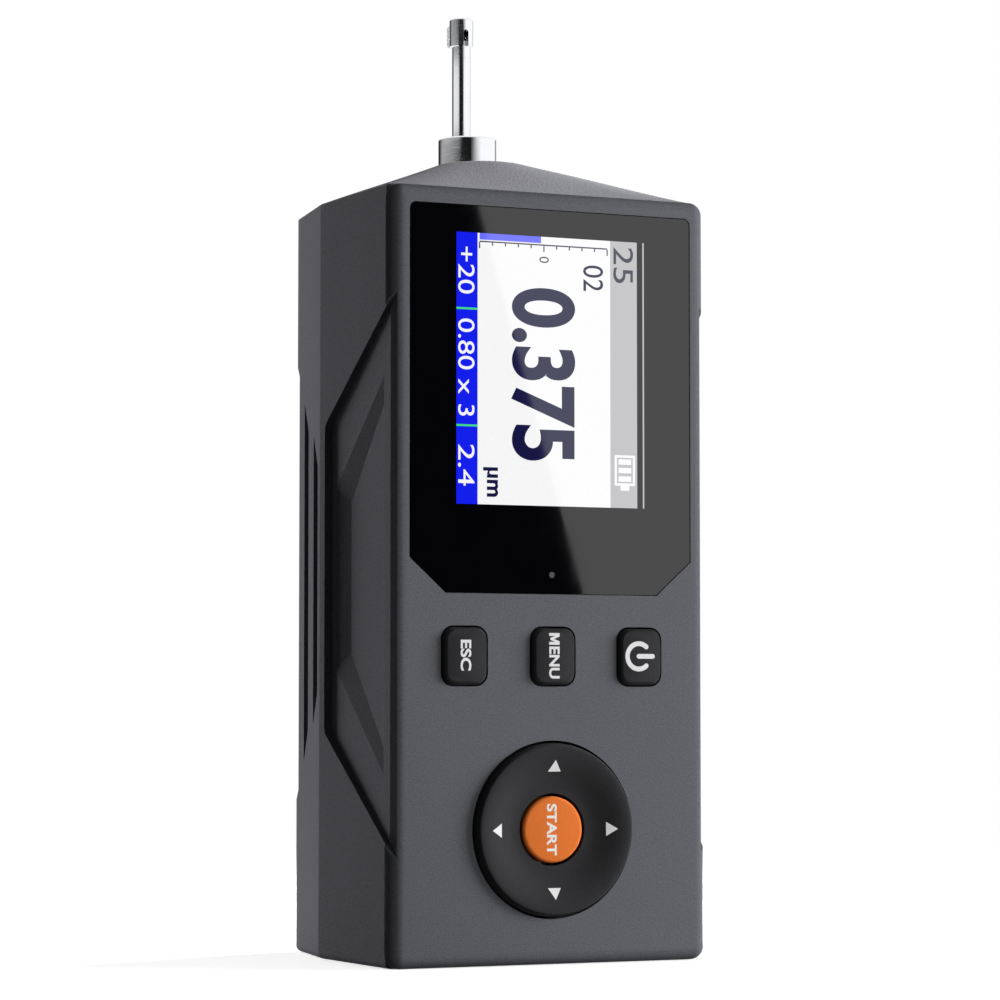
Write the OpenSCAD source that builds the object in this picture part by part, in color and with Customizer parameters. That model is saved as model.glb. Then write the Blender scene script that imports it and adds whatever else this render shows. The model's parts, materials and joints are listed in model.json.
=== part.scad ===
// Hand-held surface roughness tester, standing on its base.
// X runs to the right of someone facing the display, Y runs from the display to the back, Z runs up.
// The origin is the centre of the base. Depths are measured back from the front plane of the cover.

/* [Case] */
// Width of the front cover
body_w = 56; // [54:0.5:66]
// Height of the case without the nose
body_h = 123.5; // [118:0.5:140]
// Depth of the case from the front plane to the back
body_d = 48; // [47:0.5:60]
// Depth of the front cover at the seam
cover_t = 3; // [2.6:0.1:3.4]
// Rounding of the cover's front edge
cover_edge_r = 2.2; // [1:0.1:2.5]
// Bevel that opens the seam between cover and housing
seam_bevel = 0.3; // [0.1:0.05:0.4]
// Step of the housing behind the cover at the seam, on each side
seam_step = 0.3; // [0:0.05:0.5]
// Depth of the widest line of the housing
belt_depth = 28.8; // [28:0.2:31]
// How far the widest line stands out past the cover, on each side
belt_proud = 0.3; // [0:0.05:0.6]
// Width of the back face
rear_w = 49.2; // [48:0.2:52]
// Rounding of the housing's lower edge
rim_r = 1; // [0.6:0.1:1.6]
// Rounding of the housing's upper edge
roof_edge_r = 0.4; // [0.2:0.05:0.6]
// Thickness of the side walls, which carry the grips
side_wall = 4; // [3.6:0.1:4.2]
// Thickness of the back wall
back_wall = 4.1; // [3.9:0.1:4.5]
// Thickness of the floor of the case
floor_t = 2; // [1.6:0.1:2.2]
// Thickness of the roof of the case
roof_t = 2.5; // [2:0.1:3]
// Length of the recess across the back
back_recess_len = 74.5; // [60:0.5:80]
// Depth of the recess across the back
back_recess_depth = 2.5; // [1:0.1:2.7]
// Depth of the locating lip of the cover inside the housing
lip_len = 1.8; // [1:0.1:2]
// Thickness of the locating lip
lip_t = 1.2; // [0.8:0.1:1.4]

/* [Nose] */
// Height of the nose above the roof
nose_h = 7.6; // [6:0.1:9]
// Radius of the nose's flat crest
nose_crest_r = 7.5; // [6.5:0.1:9]
// Depth of the middle of the nose's crest
nose_mid = 27; // [25:0.2:30]
// How far the nose's front slope eases in and out: 0 is straight
nose_ease_front = 0.2; // [0:0.05:0.8]
// The same for its rear slope: below 0 it is hollow half way up
nose_ease_rear = -0.3; // [-0.5:0.05:0.5]
// Outer diameter of the collar
collar_dia = 9.9; // [9.6:0.1:10.5]
// Height of the collar above the nose
collar_proud = 5.4; // [4:0.1:6.5]
// Length of the collar inside the nose
collar_sunk = 5.4; // [4:0.2:7]
// Distance of the collar's axis from the back face
collar_from_back = 15.7; // [15.2:0.1:16.2]

/* [Grip] */
// Depth of the side grip below the side face
grip_depth = 1.05; // [0.6:0.05:1.2]
// Length of the grip at the front plane
grip_front_len = 89; // [80:0.5:96]
// Length of the grip at its rear edge
grip_rear_len = 50; // [40:0.5:56]
// Depth of the grip's rear edge
grip_end = 26.8; // [25.5:0.1:27.2]
// Rounding of the grip's corners
grip_r = 2; // [0.5:0.1:3]
// Depth of the scoop below the grip's floor
scoop_depth = 1; // [0.7:0.05:1.2]
// Length of the scoop at its front lip
scoop_front_len = 63; // [56:0.5:66]
// Length of the scoop at its rear edge
scoop_rear_len = 29.4; // [26:0.2:33]
// Length of the scoop's deepest line
scoop_deep_len = 24.4; // [20:0.2:25]
// Depth of the scoop's front lip
scoop_start = 5.5; // [4:0.1:8]
// Run of the scoop's front lip
scoop_lip_run = 1.3; // [0.8:0.1:2]
// Depth of the scoop's floor behind its lip
scoop_lip_depth = 0.55; // [0.3:0.05:0.6]
// Depth of the scoop's deepest line
scoop_low = 21; // [18:0.1:22]
// Depth of the scoop's rear edge
scoop_end = 24.9; // [23.5:0.1:25.2]
// Depth of the rear grooves
groove_depth = 0.9; // [0.4:0.05:1.1]
// Length of the groove near the back
groove_long_len = 60; // [52:0.5:66]
// Length of the groove near the widest line
groove_short_len = 47.6; // [40:0.5:50]
// Distance of the long groove's step from the widest line, along the face
groove_long_at = 12.6; // [11.5:0.1:14]
// Distance of the short groove's step from the widest line, along the face
groove_short_at = 5; // [4:0.1:6]
// Slope length that leads into each groove
groove_run = 3.4; // [2:0.1:3.8]
// Length over which each end of a groove fades out
groove_fade = 5.2; // [1:0.1:6]
// Width of a groove's steep side
groove_wall = 0.15; // [0.1:0.05:0.3]

/* [Display] */
// Gap from the top of the cover to the lens
lens_top_gap = 3.1; // [2.6:0.1:4]
// Gap from the side of the cover to the lens
lens_side_gap = 3.1; // [2.6:0.1:4]
// Height of the lens's lower edge
lens_low = 58.9; // [57.5:0.1:60]
// Width cut from each lower corner of the lens
lens_cut_x = 6.2; // [3:0.1:8]
// Height cut from each lower corner of the lens
lens_cut_z = 5.5; // [3:0.1:8]
// Rounding of the lens's upper corners
lens_r = 1; // [0.3:0.1:2]
// Thickness of the lens
lens_t = 1.5; // [1:0.1:1.8]
// How far the lens lies below the cover's face
lens_sunk = 0.1; // [0:0.05:0.2]
// Gap from the side of the lens to the lit area
lcd_side_gap = 8; // [7.8:0.1:10]
// Height of the lit area
lcd_view_h = 43.2; // [40:0.2:44]
// Gap from the top of the lens to the lit area
lcd_view_gap = 4.3; // [4:0.1:4.6]
// Rim of the display panel around its lit area
lcd_rim = 0.7; // [0.5:0.05:0.8]
// Thickness of the display panel
lcd_t = 2.6; // [2:0.1:3]
// Diameter of the indicator
pipe_dia = 1; // [0.6:0.1:1.4]
// Height of the indicator
pipe_z = 61.9; // [61:0.1:63]

/* [Keys] */
// Distance of the outer keys from the side of the cover
key_side = 12.5; // [12:0.1:14]
// Width of a key's opening
key_open_w = 8.2; // [7:0.1:9]
// Height of a key's opening
key_open_h = 9.6; // [8:0.1:10.5]
// Rounding of a key's opening
key_open_r = 2.1; // [1:0.1:2.5]
// Height of the keys' centre line
key_z = 48.9; // [47.5:0.1:50]
// How far a key stands out of the cover
key_proud = 1; // [0.7:0.05:1.5]
// Taper of a key on each side, from its opening to its face
key_taper = 0.3; // [0.1:0.05:0.5]
// Gap around a key in its opening
key_gap = 0.3; // [0.2:0.05:0.4]
// Width of the flange that holds a key in
key_flange = 0.8; // [0.6:0.1:1]
// Travel of a key and of the start button
press_travel = 0.6; // [0.3:0.05:0.7]

/* [Four-way ring] */
// Radius of the round opening
ring_open_r = 14.15; // [13.8:0.05:14.6]
// Height of the ring's centre
ring_z = 21.4; // [20.5:0.1:22]
// Gap around the ring in its opening
ring_gap = 0.4; // [0.35:0.05:0.6]
// Radius of the ring's crest
ring_crest_r = 13.2; // [12.4:0.1:13.3]
// How far the crest stands out of the cover
ring_proud = 1.4; // [0.8:0.05:1.6]
// Depth of the ring's inner edge
ring_dip = 0.25; // [0:0.05:0.8]
// Radius of the hole in the ring
ring_hole_r = 5.75; // [5.7:0.05:6.4]
// Radius of the start button
start_r = 5.3; // [4.6:0.05:5.35]
// How far the start button stands out of the cover
start_proud = 0.1; // [0:0.05:0.8]
// Radius of the pivot ring under the four-way ring
gimbal_r = 8; // [7.6:0.1:8.4]

/* [Inside] */
// Depth of the circuit board's front face
board_depth = 8.4; // [8.2:0.1:8.8]
// Thickness of the circuit board
board_t = 1.6; // [1:0.1:1.7]
// Gap between the circuit board and the walls
board_gap = 1.2; // [0.8:0.1:2]
// Thickness of the silicone key mat
mat_t = 3.4; // [2.8:0.1:3.5]
// Distance of the case screws from the side of the cover
screw_side = 7.1; // [6.8:0.1:7.3]
// Distance of the case screws from the ends of the case
screw_end = 7.5; // [7:0.1:8.5]
// Diameter of the case screws
screw_dia = 2.4; // [2:0.1:2.6]
// Width of the battery
battery_w = 32; // [26:0.5:36]
// Length of the battery
battery_len = 46; // [40:0.5:56]
// Room between the battery and the packages on the board
battery_gap = 2.1; // [1.6:0.1:3]
// Thickness of the drive frame's plates
frame_t = 1.5; // [1:0.1:1.8]
// Width of the drive frame
frame_w = 38; // [37:0.5:40]
// Distance of the drive frame's front plate from the back face
frame_from_back = 28.6; // [28:0.1:28.8]
// Spacing of the two guide rods
guide_pitch = 30; // [29:0.2:32]
// Diameter of the guide rods
guide_dia = 3; // [2.4:0.1:3.4]
// Distance of the lead screw from the pickup's axis
lead_offset = 8.5; // [8.3:0.1:9]
// Diameter of the lead screw
lead_dia = 3; // [2.4:0.1:3.2]
// Diameter of the motor
motor_dia = 12; // [10:0.2:12.4]
// Length of the motor with its gearhead
motor_len = 23; // [20:0.5:24]
// Height of the carriage block
carriage_h = 14; // [12:0.5:16]
// How far the traverse draws the pickup in
traverse_in = 14.5; // [10:0.5:15]
// How far the traverse pushes the pickup out
traverse_out = 3.5; // [1:0.5:6]

/* [Pickup] */
// Diameter of the pickup's body
pickup_dia = 8.8; // [8.6:0.1:8.9]
// Length of the pickup's body
pickup_len = 66; // [64:0.5:70]
// Distance of the nose tube from the pickup's axis, towards the back
tube_offset = 2.6; // [2.2:0.05:2.7]
// Diameter of the nose tube
tube_dia = 3.1; // [2.8:0.05:3.2]
// Length of the nose tube above the collar
tube_len = 16.3; // [16:0.1:20]
// Diameter of the head
head_dia = 4; // [3.8:0.05:4.4]
// Length of the head
head_len = 4.8; // [4.4:0.1:6]
// Width of the slot in the head
slot_w = 0.85; // [0.7:0.05:1.2]
// Length of the slot in the head
slot_len = 2.7; // [2:0.1:3]
// Width of the skid
skid_w = 2.9; // [2:0.1:3.2]
// Length of the skid
skid_len = 3.7; // [3:0.1:4]
// How far the skid stands out of the head
skid_proud = 0.75; // [0.4:0.05:1]
// How far the stylus reaches past the skid
stylus_proud = 0.2; // [0.1:0.02:0.3]

/* [Fits] */
// Running clearance of shafts and slides
run_fit = 0.05; // [0.03:0.01:0.08]
// Clearance between pieces that are seated on each other
seat_fit = 0.1; // [0.05:0.01:0.2]

/* [Hidden] */
$fn = 64;
eps = 0.01;
cut = 1;

// Case
front_y = -body_d / 2;
back_y = body_d / 2;
seam_half = body_w / 2 - seam_step;
belt_half = body_w / 2 + belt_proud;
rear_half = rear_w / 2;
mid_z = body_h / 2;
cavity_half = body_w / 2 - side_wall;
rear_side_wall = 2.6;
cavity_rear_half = rear_half - rear_side_wall;
cavity_back = body_d - back_wall;
cavity_top = body_h - roof_t;
cavity_floor_gap = 0.25;
rear_face_turn = atan((belt_half - rear_half) / (body_d - belt_depth));
edge_steps = 6;
arc_steps = 6;
hull_fn = 32;
lip_r = 1;
lip_in_r = 0.5;
wedge_over = 0.3;
corner_steps = 4;
corner_rest = 0.15;
edge_parts = 6;

// Nose
collar_r = collar_dia / 2;
collar_depth = body_d - collar_from_back;
axis_y = front_y + collar_depth;
nose_top = body_h + nose_h;
collar_top = nose_top + collar_proud;
collar_low = nose_top - collar_sunk;
collar_bevel = 0.25;
nose_rings = 10;
bore_r = pickup_dia / 2 + run_fit;

// Display
lens_half = body_w / 2 - lens_side_gap;
lens_top = body_h - lens_top_gap;
lens_gap = 0.12;
lens_pocket = lens_sunk + lens_t + seat_fit;
lcd_view_w = 2 * (lens_half - lcd_side_gap);
lcd_view_top = lens_top - lcd_view_gap;
lcd_view_mid = lcd_view_top - lcd_view_h / 2;
lcd_w = lcd_view_w + 2 * lcd_rim;
lcd_h = lcd_view_h + 2 * lcd_rim;
lcd_depth = cover_t + seat_fit;
lcd_back = lcd_depth + lcd_t;
tray_rim = 1.6;

// Keys
key_pitch = body_w / 2 - key_side;
key_w = key_open_w - 2 * key_gap;
key_h = key_open_h - 2 * key_gap;
key_r = key_open_r - key_gap;
key_steps = 4;
flange_t = 0.85;
flange_depth = cover_t + run_fit;
mat_depth = board_depth - mat_t;
dome_r = 3;
dome_t = 1;
dome_pocket = 0.4;
mat_edge = 0.5;
mat_skin = 1;

// Four-way ring
ring_r = ring_open_r - ring_gap;
ring_flange_w = 1;
ring_flange_t = 1;
ring_flange_gap = 0.8;
ring_flange_r = ring_open_r + ring_flange_w;
ring_flange_depth = cover_t + ring_flange_gap;
ring_back = ring_flange_depth + ring_flange_t;
ring_edge_depth = 0.3;
ring_steps = 10;
gimbal_t = 1.6;
gimbal_wall = 1.8;
pivot_up = 2;
pivot_depth = board_depth - pivot_up;
trunnion_r = 0.5;
lug_gap = 1;
lug_in = gimbal_r + lug_gap;
lug_len = 2;
lug_w = 2.4;
nav_disc_t = 0.5;
nav_disc_rim = 0.5;
nav_disc_r = lug_in + lug_len + nav_disc_rim;
post_shy = 0.3;
ring_clear = 1;
ring_clear_r = ring_flange_r + ring_clear;
start_stem_r = 1.5;
start_cap_t = 2.7;
guide_sleeve_r = 3;
guide_sleeve_depth = 4;
start_edge_r = 0.6;

// Board and battery
board_half = cavity_half - board_gap;
board_low = floor_t + board_gap;
board_top = cavity_top - board_gap;
board_back = board_depth + board_t;
boss_r = 2.2;
boss_shoulder_r = 3;
boss_hole_gap = 0.4;
boss_reach = 2.2;
boss_end = belt_depth + boss_reach;
screw_x = body_w / 2 - screw_side;
screw_low_z = screw_end;
screw_top_z = body_h - screw_end;
screw_r = screw_dia / 2;
screw_head_r = 2.2;
screw_head_t = 1.8;
screw_head_sink = 1.6;
hex_sides = 6;
screw_len = 16;
screw_seat = body_d - screw_head_sink - screw_head_t;
pillar_r = 3;
chip_t = 1.2;
// Centre across, height above the lens's lower edge, width and height of each package
chips = [[0, 0, 12, 12], [-14, 2, 8, 6], [13, -4, 6, 9]];
usb_w = 8.94;
usb_t = 3.26;
usb_len = 7.3;
usb_wall = 0.3;
usb_in = 0.6;
usb_gap = 0.25;
usb_end = 1;
usb_tongue_w = 6.7;
usb_tongue_t = 0.7;
usb_tongue_in = 1;
battery_r = 1.5;
usb_depth = board_back + usb_t / 2;

// Drive
frame_depth = body_d - frame_from_back;
frame_back = cavity_back - seat_fit;
battery_depth = board_back + chip_t + battery_gap;
battery_t = frame_depth - seat_fit - battery_depth;
guide_x = guide_pitch / 2;
guide_r = guide_dia / 2;
lead_r = lead_dia / 2;
motor_r = motor_dia / 2;
gearhead_len = 8;
shaft_r = 1;
bush_r = 2.6;
bush_flange_r = 3.4;
bush_flange_t = 0.8;
pickup_r = pickup_dia / 2;
pickup_shy = 0.5;
pickup_top = collar_top - pickup_shy;
pickup_low = pickup_top - pickup_len;
socket_foot = 4;
carriage_low = pickup_low - socket_foot;
carriage_top = carriage_low + carriage_h;
carriage_edge = 1.5;
carriage_w = guide_pitch + guide_dia + 2 * carriage_edge;
carriage_t = 12;
nut_r = 2.4;
nut_flange_r = 3.3;
nut_flange_t = 1;
stop_gap = 0.8;
plate_t = 3;
frame_top = carriage_top + traverse_out + stop_gap + bush_flange_t + plate_t;
coupling_r = 3;
coupling_len = 6;
coupling_gap = 0.6;
coupling_top = carriage_low - nut_flange_t - traverse_in - stop_gap;
coupling_low = coupling_top - coupling_len;
frame_low = coupling_low - coupling_gap - plate_t;
shaft_grip = 2.8;
shaft_top = coupling_low + shaft_grip;
shaft_gap = 0.2;
lead_low = shaft_top + shaft_gap;
shaft_clear = 0.25;
pickup_clear = 0.4;
battery_mid_z = (frame_low + frame_top) / 2;
socket_t = 3.2;
pin_r = 0.35;
pin_circle_r = 2;
pin_count = 4;

// Pickup
pickup_wall = 0.6;
pickup_in_r = pickup_r - pickup_wall;
plug_t = 3;
nose_cap_t = 5;
nose_cap_low = pickup_top - nose_cap_t;
spigot_len = 3;
spigot_fit = 0.02;
spigot_r = pickup_in_r - spigot_fit;
tube_y = axis_y + tube_offset;
tube_r = tube_dia / 2;
tube_in_r = 1;
cap_floor = 1;
tube_low = nose_cap_low + cap_floor;
spigot_low = nose_cap_low - spigot_len;
tube_end_r = 1.2;
head_low = collar_top + tube_len;
head_top = head_low + head_len;
head_r = head_dia / 2;
head_socket = 0.9;
head_in_r = 1.35;
head_roof = 0.8;
head_bevel = 0.35;
tube_top = head_low + head_socket;
skid_lift = 0.1;
skid_low = head_low + skid_lift;
skid_root = 0.15;
skid_bevel = 0.5;
skid_face_y = tube_y + head_r + skid_proud;
skid_base_y = tube_y + head_r * cos(asin(skid_w / head_dia)) - skid_root;
stylus_share = 0.42;
stylus_z = skid_low + skid_len * stylus_share;
stylus_cone = 0.5;
stylus_point_r = 0.02;
stylus_hole_r = 0.55;
stylus_shank_r = 0.25;
lever_r = 0.4;
lever_over = 0.5;
lever_top = stylus_z + lever_over;
pivot_drop = 3;
pivot_z = spigot_low - pivot_drop;
pivot_r = 0.5;
ear_x = 1.2;
ear_t = 0.8;
ear_half = 1;
ear_under = 1.2;
ear_low = pivot_z - ear_under;
hub_gap = 0.3;
lever_hub_half = ear_x - hub_gap;
lever_hub_r = 1;
lever_tail = 14;
lever_low = pivot_z - lever_tail;
core_len = 4;
core_r = 0.7;
coil_len = 7;
coil_r = pickup_in_r - seat_fit;
coil_under = 1.5;
coil_gap_half = 1.4;

// A direction of unit length
function unit(v) = v / norm(v);

// Points of the round that replaces corner b of the path a, b, c
function corner_arc(a, b, c, r, steps) =
    let (
        u = unit(a - b),
        v = unit(c - b),
        half = acos(u * v) / 2,
        mid = b + unit(u + v) * r / sin(half),
        p = b + u * r / tan(half) - mid,
        q = b + v * r / tan(half) - mid,
        start = atan2(p.y, p.x),
        turn = atan2(p.x * q.y - p.y * q.x, p * q)
    )
    [for (i = [0 : steps]) mid + r * [cos(start + turn * i / steps), sin(start + turn * i / steps)]];

// A closed outline with one radius for each corner
function rounded(points, radii, steps = arc_steps) =
    let (n = len(points))
    [
        for (i = [0 : n - 1])
            each radii[i] > 0
                ? corner_arc(points[(i + n - 1) % n], points[i], points[(i + 1) % n], radii[i], steps)
                : [points[i]]
    ];

// A convex outline with each edge moved inwards by its own distance
function inset_points(points, d) =
    let (n = len(points))
    [
        for (i = [0 : n - 1])
            let (
                h = (i + n - 1) % n,
                u = unit(points[i] - points[h]),
                v = unit(points[(i + 1) % n] - points[i]),
                p = [-u.y, u.x],
                q = [-v.y, v.x],
                c = p * q
            )
            points[i] + ((d[h] - d[i] * c) * p + (d[i] - d[h] * c) * q) / (1 - c * c)
    ];

// An outline with its corners rounded and the same number of points along every edge
function edge_ring(points, radii, arc, along) =
    let (
        n = len(points),
        arcs = [
            for (i = [0 : n - 1])
                radii[i] > 0
                    ? corner_arc(points[(i + n - 1) % n], points[i], points[(i + 1) % n], radii[i], arc)
                    : [points[i]]
        ]
    )
    [
        for (i = [0 : n - 1])
            let (a = arcs[i][len(arcs[i]) - 1], b = arcs[(i + 1) % n][0])
            each concat(arcs[i], [for (k = [1 : along - 1]) a + (b - a) * k / along])
    ];

// Rise of the nose's side, from its foot at 0 to its crest at 1
function nose_rise(t, ease) = t + ease * (t * t * (3 - 2 * t) - t);

// A front-view outline extruded from one depth to another
module front_extrude(near, far) {
    translate([0, front_y + far, 0])
        rotate([90, 0, 0])
            linear_extrude(far - near)
                children();
}

// A profile of radius and height towards the front, turned about an axis along Y
module front_turn(depth, z) {
    translate([0, front_y + depth, z])
        rotate([90, 0, 0])
            rotate_extrude()
                children();
}

// A pin along Y between two depths
module front_pin(r, near, far, x, z) {
    translate([x, front_y + far, z])
        rotate([90, 0, 0])
            cylinder(r = r, h = far - near);
}

// A front-view rectangle with rounded corners
module round_rect(w, h, r) {
    polygon(rounded([[-w / 2, -h / 2], [w / 2, -h / 2], [w / 2, h / 2], [-w / 2, h / 2]], [r, r, r, r]));
}

// Every case screw's place
module at_screws() {
    for (x = [-screw_x, screw_x])
        for (z = [screw_low_z, screw_top_z])
            translate([x, 0, z])
                children();
}

// The same shape on the left and on the right
module both_sides() {
    children();
    mirror([1, 0, 0])
        children();
}

// Hexagon of the side grip, drawn in depth and height, cut from the left
module grip_cut() {
    front = [0, grip_front_len / 2];
    rear = [grip_end, grip_rear_len / 2];
    start = front + (front - rear) * cut / grip_end;
    outline = [
        [start.x, mid_z - start.y], [rear.x, mid_z - rear.y],
        [rear.x, mid_z + rear.y], [start.x, mid_z + start.y]
    ];
    translate([-body_w / 2 - 2 * cut, front_y, 0])
        rotate([90, 0, 90])
            linear_extrude(2 * cut + grip_depth)
                polygon(rounded(outline, [0, grip_r, grip_r, 0]));
}

// A wedge cut into a left-hand face: Y runs back along the face, X goes into the body.
// Its sides run on past the face, so that they cross it cleanly.
module wedge_cut(front, front_len, low, low_len, rear, rear_len, depth) {
    grow = 1 + wedge_over / depth;
    y0 = low + (front - low) * grow;
    y1 = low + (rear - low) * grow;
    z0 = (low_len + (front_len - low_len) * grow) / 2;
    z1 = (low_len + (rear_len - low_len) * grow) / 2;
    polyhedron(
        points = [
            [-wedge_over, y0, -z0], [-wedge_over, y0, z0], [-wedge_over, y1, z1], [-wedge_over, y1, -z1],
            [depth, low, low_len / 2], [depth, low, -low_len / 2]
        ],
        faces = [[3, 2, 1, 0], [1, 4, 5, 0], [2, 4, 1], [3, 5, 4, 2], [0, 5, 3]]
    );
}

// Half length of the scoop on the grip's floor, at a depth
function scoop_half(y) =
    let (t = (y - scoop_start) / (scoop_end - scoop_start))
    (scoop_front_len + (scoop_rear_len - scoop_front_len) * t) / 2;

// Scoop in the grip's floor: a short lip, a gently falling floor and a steep rear wall.
// Its sides run on past the floor, so that they cross it cleanly.
module scoop_cut() {
    draft = (scoop_half(scoop_low) - scoop_deep_len / 2) / scoop_depth;
    lip = scoop_start + scoop_lip_run;
    y0 = scoop_start - scoop_lip_run * wedge_over / scoop_lip_depth;
    y1 = scoop_end + (scoop_end - scoop_low) * wedge_over / scoop_depth;
    z0 = scoop_half(y0) + draft * wedge_over;
    z1 = scoop_half(y1) + draft * wedge_over;
    z2 = scoop_half(lip) - draft * scoop_lip_depth;
    z3 = scoop_deep_len / 2;
    translate([-body_w / 2 + grip_depth, front_y, mid_z])
        polyhedron(
            points = [
                [-wedge_over, y0, -z0], [-wedge_over, y0, z0], [-wedge_over, y1, z1], [-wedge_over, y1, -z1],
                [scoop_lip_depth, lip, -z2], [scoop_lip_depth, lip, z2],
                [scoop_depth, scoop_low, z3], [scoop_depth, scoop_low, -z3]
            ],
            faces = [[3, 2, 1, 0], [1, 5, 4, 0], [5, 6, 7, 4], [3, 7, 6, 2], [2, 6, 5, 1], [0, 4, 7, 3]]
        );
}

// Groove with one sloped side and one steep side on the rear side face
module groove_cut(at, length) {
    translate([-belt_half, front_y + belt_depth, mid_z])
        rotate([0, 0, -rear_face_turn])
            wedge_cut(
                at - groove_run, length - 2 * groove_fade, at - groove_wall, length,
                at, length, groove_depth
            );
}

// Outline of the housing, moved inwards everywhere but at the seam
function shell_ring(inset) =
    let (
        seam = front_y + cover_t,
        belt = front_y + belt_depth,
        corners = [
            [-seam_half, seam], [seam_half, seam], [belt_half, belt],
            [rear_half, back_y], [-rear_half, back_y], [-belt_half, belt]
        ],
        moved = inset_points(corners, [0, inset, inset, inset, inset, inset]),
        back_r = rim_r + corner_rest - inset,
        belt_r = 2 * rim_r - inset
    )
    edge_ring(moved, [0, 0, belt_r, back_r, back_r, belt_r], corner_steps, edge_parts);

// Outer form of the housing: rounded rims, straight sides and the nose that rises to the round crest
module housing_block() {
    foot = shell_ring(roof_edge_r);
    crest = [0, front_y + nose_mid];
    low = [
        for (k = [0 : edge_steps])
            let (a = 90 * k / edge_steps)
            [for (p = shell_ring(rim_r * (1 - sin(a)))) [p.x, p.y, rim_r * (1 - cos(a))]]
    ];
    high = [
        for (k = [0 : edge_steps])
            let (a = 90 * k / edge_steps)
            [for (p = shell_ring(roof_edge_r * (1 - cos(a)))) [p.x, p.y, body_h - roof_edge_r * (1 - sin(a))]]
    ];
    nose = [
        for (k = [1 : nose_rings])
            let (t = k / nose_rings)
            [
                for (p = foot)
                    let (
                        away = unit(p - crest),
                        q = p + (crest + away * nose_crest_r - p) * t,
                        ease = nose_ease_front + (nose_ease_rear - nose_ease_front) * (1 + away.y) / 2
                    )
                    [q.x, q.y, body_h + nose_h * nose_rise(t, ease)]
            ]
    ];
    rings = concat(low, high, nose);
    n = len(foot);
    count = len(rings);
    last = (count - 1) * n;
    hub = count * n;
    polyhedron(
        points = [
            for (ring = rings) each ring,
            [0, axis_y, 0],
            [crest.x, crest.y, nose_top]
        ],
        faces = [
            for (i = [0 : n - 1]) [hub, i, (i + 1) % n],
            for (i = [0 : n - 1]) [hub + 1, last + (i + 1) % n, last + i],
            for (k = [0 : count - 2])
                for (i = [0 : n - 1])
                    let (
                        j = (i + 1) % n,
                        under = k * n,
                        over = under + n
                    )
                    each [[under + i, over + i, under + j], [under + j, over + i, over + j]]
        ]
    );
}

module cavity() {
    front = front_y + cover_t - cut;
    belt = front_y + belt_depth;
    translate([0, 0, floor_t])
        linear_extrude(cavity_top - floor_t)
            polygon([
                [-cavity_half, front], [cavity_half, front], [cavity_half, belt],
                [cavity_rear_half, front_y + cavity_back], [-cavity_rear_half, front_y + cavity_back],
                [-cavity_half, belt]
            ]);
}

// Recess across the back with sloped ends
module back_recess_cut() {
    r = back_recess_len / 2;
    d = back_recess_depth;
    translate([-body_w / 2 - cut, back_y, mid_z])
        rotate([90, 0, 90])
            linear_extrude(body_w + 2 * cut)
                polygon([[-d, -r + d], [cut, -r - cut], [cut, r + cut], [-d, r - d]]);
}

module usb_opening() {
    translate([0, front_y + usb_depth, -cut])
        linear_extrude(floor_t + 2 * cut)
            round_rect(usb_w + 2 * usb_gap, usb_t + 2 * usb_gap, usb_t / 2);
}

module rear_housing() {
    color([0.25, 0.25, 0.27])
        difference() {
            union() {
                difference() {
                    housing_block();
                    cavity();
                }
                at_screws()
                    front_pin(pillar_r, boss_end, cavity_back + eps, 0, 0);
            }
            both_sides() {
                grip_cut();
                scoop_cut();
                groove_cut(groove_long_at, groove_long_len);
                groove_cut(groove_short_at, groove_short_len);
            }
            back_recess_cut();
            translate([0, axis_y, cavity_top - cut])
                cylinder(r = bore_r + seat_fit, h = nose_top);
            translate([0, axis_y, collar_low])
                cylinder(r = collar_r + run_fit, h = nose_top);
            at_screws() {
                front_pin(screw_r + run_fit, boss_end - cut, body_d, 0, 0);
                front_pin(screw_head_r + seat_fit, screw_seat, body_d + cut, 0, 0);
            }
            usb_opening();
        }
}

// Slab with a round front edge, round corners and a bevelled rear edge
module cover_block() {
    r = cover_edge_r;
    edge = [
        for (k = [0 : edge_steps])
            let (a = 90 * k / edge_steps)
            [r * sin(a), r * cos(a) - r]
    ];
    rear = [[r, seam_bevel - cover_t], [r - seam_bevel, -cover_t], [0, -cover_t]];
    hull()
        for (x = [-body_w / 2 + r, body_w / 2 - r])
            for (z = [r, body_h - r])
                translate([x, 0, 0])
                    front_turn(0, z, $fn = hull_fn)
                        polygon(concat(edge, rear));
}

function lens_outline(grow) =
    let (
        x = lens_half + grow,
        low = lens_low - grow,
        top = lens_top + grow,
        nip = grow * tan(45 / 2)
    )
    rounded(
        [
            [-x + lens_cut_x + nip, low], [x - lens_cut_x - nip, low], [x, low + lens_cut_z + nip],
            [x, top], [-x, top], [-x, low + lens_cut_z + nip]
        ],
        [0, 0, 0, lens_r + grow, lens_r + grow, 0]
    );

module lip() {
    z0 = floor_t + cavity_floor_gap;
    h = cavity_top - floor_t - 2 * cavity_floor_gap;
    w = 2 * (cavity_half - cavity_floor_gap);
    front_extrude(cover_t - eps, cover_t + lip_len)
        difference() {
            translate([0, z0 + h / 2])
                round_rect(w, h, lip_r);
            translate([0, z0 + h / 2])
                round_rect(w - 2 * lip_t, h - 2 * lip_t, lip_in_r);
        }
}

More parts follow.
